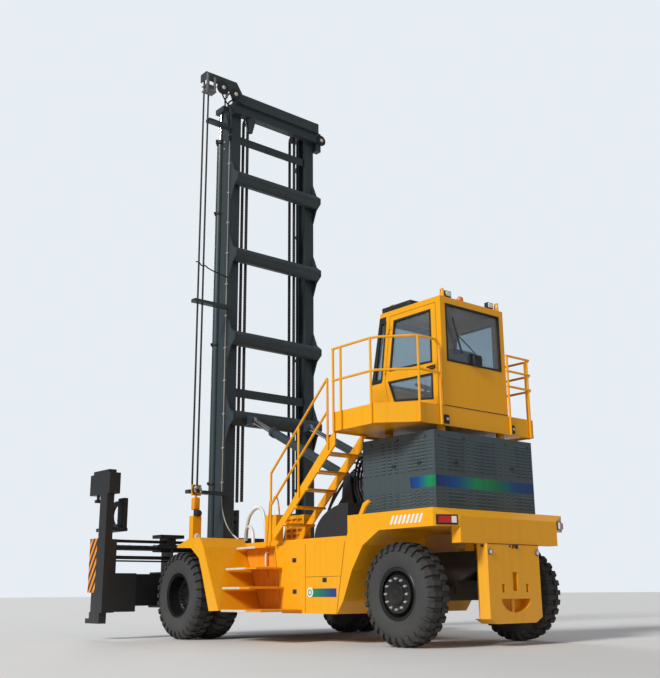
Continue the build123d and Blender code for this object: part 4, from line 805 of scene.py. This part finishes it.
def roof_fittings():
    """Beacon, working lamps by the lugs, and the roof unit's louvres and lid."""
    seat = (-0.18, 0.02, 4.9)
    flare = ((0, 0), (0, 0.062), (0.02, 0.066), (0.035, 0.06), (0.04, 0.05), (0.04, 0))
    foot = spun(flare, seat, (0, 0, 1), 32)
    stem = rod(seat, (-0.18, 0.02, 4.96), 0.05, 24)
    piece("beacon_foot", [foot, stem], plastic_black)
    curve = ((0.04, 0.052), (0.06, 0.055), (0.12, 0.053), (0.145, 0.045), (0.158, 0.028), (0.162, 0))
    dome = spun(curve, seat, (0, 0, 1), 32)
    piece("beacon_dome", [dome], amber_lens)
    lid = block(0.21, 0.845, -0.695, 0.695, 4.896, 4.988, 0.016, 3)
    slats = [block(0.204, 0.22, -0.6, 0.6, 4.912 + n * 0.02, 4.922 + n * 0.02, 0.002, 1) for n in range(3)]
    sides = [block(0.28, 0.77, 0.684, 0.70, 4.912 + n * 0.02, 4.922 + n * 0.02, 0.002, 1) for n in range(3)]
    piece("roof_unit_lid", [lid] + slats + sides, plastic_black)
    lamps, lenses = [], []
    for y in (0.45, -0.50):
        lamps.append(block(-0.345, -0.27, y - 0.07, y + 0.07, 4.93, 5.03, 0.014, 3))
        lamps.append(rod((-0.31, y, 4.9), (-0.31, y, 4.94), 0.018))
        lenses.append(block(-0.352, -0.34, y - 0.058, y + 0.058, 4.945, 5.015, 0.006, 2))
    for y in (0.5, -0.5):
        lamps.append(block(0.80, 0.875, y - 0.07, y + 0.07, 4.93, 5.03, 0.014, 3))
        lenses.append(block(0.87, 0.882, y - 0.058, y + 0.058, 4.945, 5.015, 0.006, 2))
    piece("roof_lamps", lamps, plastic_black)
    piece("roof_lamp_lenses", lenses, white_lens)


def cab_details():
    """Door handle, isolators under the cab, wall joint strips and bolts."""
    handle = [
        block(-0.262, -0.15, CAB_Y - 0.002, CAB_Y + 0.012, 3.825, 3.885, 0.005),
        rod((-0.245, CAB_Y, 3.855), (-0.245, CAB_Y + 0.05, 3.855), 0.011),
        block(-0.255, -0.13, CAB_Y + 0.036, CAB_Y + 0.058, 3.843, 3.867, 0.008, 3),
    ]
    piece("door_handle", handle, plastic_black, "door")
    mounts, bolts = [], []
    for y in (0.66, -0.78):
        mounts.append(block(CAB_REAR - 0.012, CAB_REAR + 0.02, y - 0.055, y + 0.055, 3.0, 3.13, 0.01, 3))
        bolts.append(rod((CAB_REAR - 0.006, y, 3.065), (CAB_REAR - 0.03, y, 3.065), 0.022, 6))
    piece("cab_isolators", mounts, plastic_black)
    piece("isolator_bolts", bolts, nut_steel)
    strip = [block(CAB_REAR - 0.006, CAB_REAR + 0.004, -0.69, 0.69, 3.262, 3.272, 0.002, 1)]
    strip.append(block(-0.39, 0.99, CAB_Y - 0.004, CAB_Y + 0.006, 3.262, 3.272, 0.002, 1))
    piece("cab_floor_seal", strip, seal_rubber)


# Tanks, steps and deck
TANK_Y = 1.36


def tank_details():
    """Latches and blank plate on both tanks, and a handle on the left one."""
    latches = []
    y = TANK_Y
    for x, z in ((2.20, 1.19), (1.48, 0.89), (2.19, 0.73)):
        latches.append(block(x - 0.045, x + 0.045, y - 0.002, y + 0.01, z - 0.032, z + 0.032, 0.006, 3))
        latches.append(block(x - 0.012, x + 0.03, y + 0.006, y + 0.02, z - 0.012, z + 0.012, 0.004, 2))
    pair("tank_latches_left", latches, plastic_black)
    plate = [block(1.22, 1.87, y - 0.002, y + 0.004, 0.65, 0.77, 0.0015, 1)]
    pair("tank_plate_left", plate, plate_green)
    middle = (1.82, y, 0.715)
    disc = spun(((0, 0), (0, 0.072), (0.004, 0.074), (0.007, 0.07), (0.007, 0)), middle, (0, 1, 0), 40)
    ring = spun(((0.006, 0.03), (0.008, 0.03), (0.008, 0.045), (0.006, 0.045)), middle, (0, 1, 0), 40)
    pair("tank_plate_disc_left", [disc], handle_white)
    pair("tank_plate_ring_left", [ring], plate_green)
    bow = ((y, 1.33), (y + 0.06, 1.33), (y + 0.06, 1.22), (y + 0.06, 1.1), (y, 1.1))
    handle = bent([(2.86, out, z) for out, z in bow], 0.013)
    piece("tank_handle", [handle], handle_white)


def grab_pole():
    """Thin orange pole beside the steps, with a bow at its upper end."""
    y = 1.40
    rise = [(2.86, TANK_Y + 0.012, 0.95), (2.9, y, 1.0), (2.86, y, 1.5), (2.80, y, 2.0), (2.79, y, 2.12)]
    piece("grab_pole", [bent(rise, 0.012)], step_yellow_painted_shade)
    bow = [(2.70, y, 2.1), (2.69, y, 2.16), (2.64, y, 2.2), (2.60, y - 0.03, 2.12), (2.60, y - 0.05, 1.9)]
    piece("grab_pole_bow", [bent(bow, 0.012)], step_yellow_painted_shade)


# height, outer edge, rear end
TREADS = ((1.42, 1.54, 2.7), (1.09, 1.85, 2.505), (0.80, 2.003, 2.463), (0.47, 2.12, 2.01))


def step_nosings():
    """Worn pale nosings and studs on the steps beside the tank, and nosings on the stairs."""
    strips, studs = [], []
    pitch = 0.07
    for z, outer, rear in TREADS:
        front = 3.03 + 0.4845 * (z - 0.46)
        worn = rear + (front - rear) * 0.36
        strips.append(block(worn, front, outer - 0.028, outer + 0.004, z - 0.028, z + 0.004, 0.003))
        x, y = rear + pitch, outer - pitch
        stud = rod((x, y, z - 0.004), (x, y, z + 0.006), 0.012, 10, 0.4)
        rows = int((outer - 0.1 - TANK_Y) / pitch)
        files = int((front - rear - 0.12) / pitch)
        for row in range(rows + 1):
            for file in range(files + 1):
                if row or file:
                    studs.append(again(stud, offset=(file * pitch, -row * pitch, 0)))
        studs.append(stud)
    piece("step_nosings", strips, nosing_pale)
    piece("step_studs", studs, step_yellow_painted_shade)
    edges = []
    for n in range(1, 6):
        z = 1.5 + (2.96 - 1.5) * n / 6
        x = 2.64 - (2.64 - 1.05) * n / 6
        edges.append(block(x + 0.03, x + 0.063, 0.96, 1.47, z - 0.032, z + 0.003, 0.003))
    piece("stair_nosings", edges, nosing_pale)


def hydraulic_hoses():
    """Hoses from the valve bank down to the deck and along to the mast, with their fittings."""
    hoses, fittings = [], []
    for n, (y, z, reach, foot) in enumerate((
        (0.50, 2.62, 2.0, 0.62), (0.40, 2.50, 2.1, 0.54), (0.30, 2.60, 2.2, 0.46), (0.20, 2.45, 2.1, 0.38),
        (-0.10, 2.60, 2.2, -0.16), (-0.25, 2.45, 2.1, -0.30),
    )):
        route = [
            (1.32, y, z), (1.55, y, z + 0.02), (1.8, foot, z + 0.1 - n * 0.02), (reach + 0.2, foot, 2.1),
            (reach + 0.4, foot, 1.75), (reach + 0.5, foot, 1.49),
        ]
        hoses.append(bent(route, 0.018))
        fittings.append(rod((1.32, y, z), (1.39, y, z), 0.026, 6))
    for n in range(5):
        y = 0.56
        x = 1.06 + n * 0.055
        route = [
            (x, y - 0.02, 2.72), (x, y + 0.05, 2.7), (x + 0.01, y + 0.08, 2.4), (x - 0.01 * n, y + 0.07, 2.0),
            (x, y + 0.02, 1.49),
        ]
        hoses.append(bent(route, 0.016))
        fittings.append(rod((x, y - 0.01, 2.72), (x, y + 0.03, 2.72), 0.024, 6))
    for n in range(8):
        x = 1.02 + 0.045 * n
        y = 0.62 + 0.03 * (n % 3)
        route = [
            (x, 0.54, 2.25 + 0.06 * n), (x, y, 2.3 + 0.06 * n), (x + 0.03, y + 0.14, 2.5 + 0.03 * n),
            (x + 0.09, y + 0.17, 2.25), (x + 0.02, y + 0.1, 1.98), (x - 0.01, y, 1.7), (x, y - 0.05, 1.49),
        ]
        hoses.append(bent(route, 0.019))
    piece("valve_hoses", hoses, hose_black)
    piece("valve_fittings", fittings, nut_steel)
    spools = []
    for n in range(6):
        z = 2.0 + n * 0.11
        spools.append(rod((1.03, 0.30, z), (0.975, 0.30, z), 0.03, 16))
        spools.append(block(1.325, 1.352, -0.42, 0.1, z, z + 0.07, 0.008, 2))
    piece("valve_spools", spools, frame_black)


def mast_lines():
    """Pale line down the left outer rail with its clips, the squiggled wire and the hoses at the arm."""
    y = 1.044
    end = [
        (4.71, y, 2.92), (4.71, y, 2.7), (4.72, y, 2.4), (4.69, y, 2.1), (4.5, 1.052, 1.8), (4.3, 1.07, 1.68),
    ]
    line = [rod((4.71, y, 2.9), (4.71, y, 9.5), 0.011, 12), bent(end, 0.011)]
    piece("mast_pale_line", line, sleeve_grey, "mast_outer")
    clips = [block(4.685, 4.735, 1.028, 1.062, 2.6 + n * 0.62, 2.63 + n * 0.62, 0.004) for n in range(12)]
    piece("mast_line_clips", clips, nut_steel, "mast_outer")
    hoses = [bent(route, radius) for radius, route in (
        (0.012, ((4.62, 1.78, 6.59), (4.62, 1.72, 6.61), (4.62, 1.66, 6.53), (4.62, 1.58, 6.57),
                 (4.62, 1.5, 6.5), (4.66, 1.05, 6.45))),
        (0.016, ((4.45, 1.12, 10.06), (4.46, 1.28, 9.98), (4.5, 1.22, 9.8), (4.58, 1.14, 9.68),
                 (4.68, 1.06, 9.5))),
        (0.016, ((4.45, 1.2, 10.2), (4.47, 1.34, 10.05), (4.5, 1.3, 9.82), (4.6, 1.12, 9.55),
                 (4.7, 1.05, 9.3))),
        (0.014, ((4.45, 1.41, 10.08), (4.47, 1.3, 9.92), (4.5, 1.16, 9.92), (4.56, 1.08, 9.85))),
    )]
    piece("arm_hoses", hoses, hose_black, "mast_outer")


def sheaves():
    """Grooved wheels with hubs at the arm and the right block, and the arm's brackets."""
    wheels, hubs, plates = [], [], []
    places = ((4.405, 1.41, 10.2, 0.128), (4.405, 1.12, 10.16, 0.108), (4.528, -1.145, 9.94, 0.112))
    for x, y, z, radius in places:
        crest = radius + 0.002
        groove = (
            (0.0, 0.03), (0.0, radius), (0.006, crest), (0.016, radius - 0.018), (0.026, crest),
            (0.032, radius), (0.032, 0.03),
        )
        wheels.append(spun(groove, (x, y, z), (1, 0, 0), 48))
        hubs.append(rod((x - 0.014, y, z), (x + 0.04, y, z), 0.04, 24, 0.3))
        hubs.append(rod((x - 0.024, y, z), (x - 0.01, y, z), 0.02, 6))
    for y, z0, z1 in ((1.60, 10.05, 10.35), (1.76, 9.98, 10.4), (1.32, 10.02, 10.3)):
        plates.append(block(4.41, 4.45, y - 0.02, y + 0.02, z0, z1, 0.004))
    plates.append(block(4.42, 4.60, 1.56, 1.79, 10.04, 10.07, 0.006))
    plates.append(block(4.42, 4.60, 1.56, 1.79, 10.15, 10.17, 0.006))
    piece("arm_sheaves", wheels, frame_black, "mast_outer")
    piece("arm_hubs", hubs, nut_steel, "mast_outer")
    piece("arm_brackets", plates, bracket_grey, "mast_outer")


def barrel_collars():
    """Clamp collars and gland rings on the lift cylinders."""
    rings = []
    for z, reach in ((7.85, 0.05), (5.2, 0.05), (2.6, 0.05), (9.36, 0.09)):
        far = reach - 0.006
        ring = ((0.0, 0.079), (0.0, 0.094), (0.006, 0.098), (far, 0.098), (reach, 0.094), (reach, 0.079))
        rings.append(spun(ring, (5.08, 1.0, z), (0, 0, 1), 40))
        rings.append(block(5.07, 5.09, 1.09, 1.125, z, z + reach, 0.004))
    pair("barrel_collars_left", rings, frame_black, "mast_outer")


def spreader_lines():
    """Hose carriers along the spreader, and the arms and studs at its end posts."""
    lines = []
    for x, z, radius in ((5.40, 1.585, 0.026), (5.40, 1.45, 0.02), (5.44, 1.315, 0.03), (5.40, 1.255, 0.014)):
        lines.append(rod((x, -2.7, z), (x, 2.7, z), radius, 16))
    piece("spreader_lines", lines, frame_black, "spreader")
    eye = ((0, 0.16), (0, 0.24), (0.05, 0.24), (0.05, 0.16), (0, 0.16))
    arms = [
        block(5.2, 5.75, 2.60, 2.915, 1.74, 1.80, 0.01),
        block(5.22, 5.42, 2.60, 2.70, 1.78, 2.30, 0.02, 3),
        spun(eye, (5.52, 2.62, 2.02), (0, 1, 0), 40),
    ]
    pair("end_arms_left", arms, frame_black, "telescope_left")
    stud = [rod((5.46, 2.985, 1.5), (5.46, 2.985, 1.78), 0.012, 16)]
    stud += [rod((5.46, 2.985, z), (5.46, 2.985, z + 0.024), 0.026, 6) for z in (1.6, 1.66, 1.72)]
    pair("end_post_stud_left", stud, nut_steel, "telescope_left")


def slab_upstand():
    """Slanted brackets that stand up from the arches in front of the battery box."""
    outline = ((0.84, 1.60), (0.77, 1.60), (0.585, 1.88), (0.50, 1.94), (0.53, 1.975), (0.64, 1.93))
    upstand = slab([(x, 1.31, z) for x, z in outline], (0, 0.04, 0))
    pair("slab_upstand_left", [upstand], yellow)


def deck_lines():
    """Pale sleeved hoses that loop over the front deck, and the line's end there."""
    sleeves = [bent(route, radius) for radius, route in (
        (0.03, ((4.46, 0.68, 1.6), (4.4, 0.72, 1.95), (4.1, 0.75, 2.15), (3.85, 0.78, 2.12), (3.74, 0.8, 1.9),
                (3.7, 0.8, 1.5))),
        (0.03, ((4.42, 0.72, 1.6), (4.38, 0.75, 1.8), (4.2, 0.78, 1.84), (4.08, 0.8, 1.7),
                (4.05, 0.82, 1.5))),
        (0.013, ((4.3, 1.07, 1.68), (4.2, 1.06, 1.62), (4.12, 1.04, 1.58), (4.08, 1.0, 1.49))),
    )]
    piece("deck_hose_sleeves", sleeves, handle_white)


def mirrors_and_lamps():
    """Mirror glass, and the guards, lamp shells and lamps on the front posts."""
    back = (-1, 0, 0)
    dome = ((0, 0), (0, 0.076), (0.004, 0.078), (0.01, 0.06), (0.012, 0))
    pair("mirror_glass_left", [spun(dome, (4.182, 1.875, 2.395), back, 36)], mirror_glass)
    guard = block(4.19, 4.29, 1.815, 1.935, 2.06, 2.27, 0.02, 3)
    pair("post_guard_left", [guard], step_yellow_painted_shade)
    bowl = ((0, 0), (0, 0.085), (0.03, 0.088), (0.05, 0.07), (0.055, 0))
    shells = [
        rod((4.19, 1.875, 2.0), (4.12, 1.875, 2.0), 0.055, 24, 0.25),
        block(4.18, 4.25, 1.84, 1.91, 1.955, 2.06, 0.01, 2),
        spun(bowl, (4.235, 1.875, 2.395), back, 36),
    ]
    pair("post_lamp_shells_left", shells, plastic_black)
    boss = ((0, 0), (0, 0.05), (0.02, 0.055), (0.03, 0.045), (0.032, 0))
    pair("post_lamp_left", [spun(boss, (4.178, 1.87, 1.62), back, 32)], white_lens)


def bolts():
    """Dark discs on the weight as painted shade in its holes, and bolts and catches on the battery box."""
    heads = []
    # Dark discs put where the weight has holes: painted shade inside them.
    for y, size in ((0.079, 0.016), (-0.06, 0.034)):
        heads.append(rod((-0.923, y, 1.30), (-0.934, y, 1.30), size, 24, 0.35))
    for way in (1, -1):
        heads.append(rod((-0.862, way * 0.569, 1.30), (-0.867, way * 0.579, 1.30), 0.02, 16, 0.35))
    heads.append(block(-0.928, -0.918, -0.54, 0.54, 1.322, 1.332, 0.002, 1))
    piece("weight_hole_shades", heads, frame_black)
    studs = []
    for y in (-0.95, -0.45, 0.45, 0.95):
        studs.append(rod((-0.516, y, 2.79), (-0.528, y, 2.79), 0.014, 6))
    for x in (-0.35, 0.2, 0.75):
        studs.append(rod((x, 1.049, 2.80), (x, 1.061, 2.80), 0.014, 6))
    catches = []
    for x in (-0.25, 0.25):
        catches.append(block(x, x + 0.07, 1.048, 1.066, 2.42, 2.46, 0.005))
    for y in (-0.6, 0.6):
        catches.append(block(-0.533, -0.515, y, y + 0.07, 2.42, 2.46, 0.005))
    piece("battery_catches", studs + catches, plastic_black)


def mast_bolts():
    """Clamp bolts on the outer rails."""
    heads = []
    for z in (1.2, 1.35, 1.5, 9.2, 9.35):
        for x in (4.72, 4.90):
            heads.append(rod((x, 1.029, z), (x, 1.043, z), 0.018, 6))
    pair("mast_bolts_left", heads, nut_steel, "mast_outer")


cab_seals()
rear_wiper()
roof_fittings()
cab_details()
tank_details()
step_nosings()
hydraulic_hoses()
mast_lines()
sheaves()
barrel_collars()
spreader_lines()
slab_upstand()
deck_lines()
grab_pole()
mirrors_and_lamps()
bolts()
mast_bolts()


# Floor, light and camera
def studio():
    bpy.ops.mesh.primitive_plane_add(size=400, location=(0, 0, 0))
    floor = bpy.context.object
    floor.name = "yard_floor"
    pale = (0.67, 0.67, 0.66)
    finish, tree, shader = bare_finish("pale_floor", pale)
    marks = place_group(tree, RUNS, {"Colour": (*pale, 1), "Runs": 0.0, "Tone": 0.06})
    feed(tree, shader, {"Base Color": marks.outputs["Colour"], "Roughness": 0.85})
    floor.data.materials.append(finish)
    world = bpy.data.worlds.new("studio_world")
    scene.world = world
    world.use_nodes = True
    tree = world.node_tree
    light = tree.nodes["Background"]
    feed(tree, light, {"Color": (0.86, 0.9, 1.0, 1), "Strength": 0.31})
    seen = add(tree, "Background", {"Color": (0.80, 0.85, 0.90, 1), "Strength": 1.0})
    path = add(tree, "LightPath")
    straight = larger(path.outputs["Is Camera Ray"], path.outputs["Is Transmission Ray"])
    mix = add(tree, "MixShader", {0: straight, 1: light.outputs[0], 2: seen.outputs[0]})
    feed(tree, tree.nodes["World Output"], {"Surface": mix.outputs[0]})
    for name, place, aim, spread, strength, colour in (
        ("key_light", (-3, 22, 17), (0, 0, 3), 14, 2.9, (1.0, 0.99, 0.96)),
        ("rear_fill", (-24, -2, 12), (-2, 0, 2), 24, 0.2, (1.0, 0.8, 0.6)),
        ("front_fill", (22, -8, 14), (0, 0, 3), 24, 0.8, (1.0, 1.0, 1.0)),
    ):
        lamp = bpy.data.lights.new(name, "SUN")
        lamp.angle = radians(spread)
        lamp.energy = strength
        lamp.color = colour
        holder = bpy.data.objects.new(name, lamp)
        scene.collection.objects.link(holder)
        holder.location = place
        holder.rotation_euler = (Vector(aim) - Vector(place)).to_track_quat("-Z", "Y").to_euler()


def photo_camera():
    """Camera where the photograph was taken from."""
    yaw, pitch, roll = 0.6983, 0.2642, -0.0084
    ahead = Vector((cos(yaw) * cos(pitch), -sin(yaw) * cos(pitch), sin(pitch)))
    side = Vector((-sin(yaw), -cos(yaw), 0))
    upward = side.cross(ahead)
    right = side * cos(roll) + upward * sin(roll)
    top = upward * cos(roll) - side * sin(roll)
    data = bpy.data.cameras.new("photo_camera")
    focal_pixels, picture_height = 933.95, 678
    data.sensor_width = 36
    data.lens = focal_pixels * data.sensor_width / picture_height
    data.clip_end = 500
    camera = bpy.data.objects.new("photo_camera", data)
    scene.collection.objects.link(camera)
    turn = Matrix((right, top, -ahead)).transposed().to_4x4()
    camera.matrix_world = Matrix.Translation((-9.339 + STEER_X, 10.303, 0.724)) @ turn
    scene.camera = camera


studio()
photo_camera()
scene.view_settings.view_transform = "Standard"
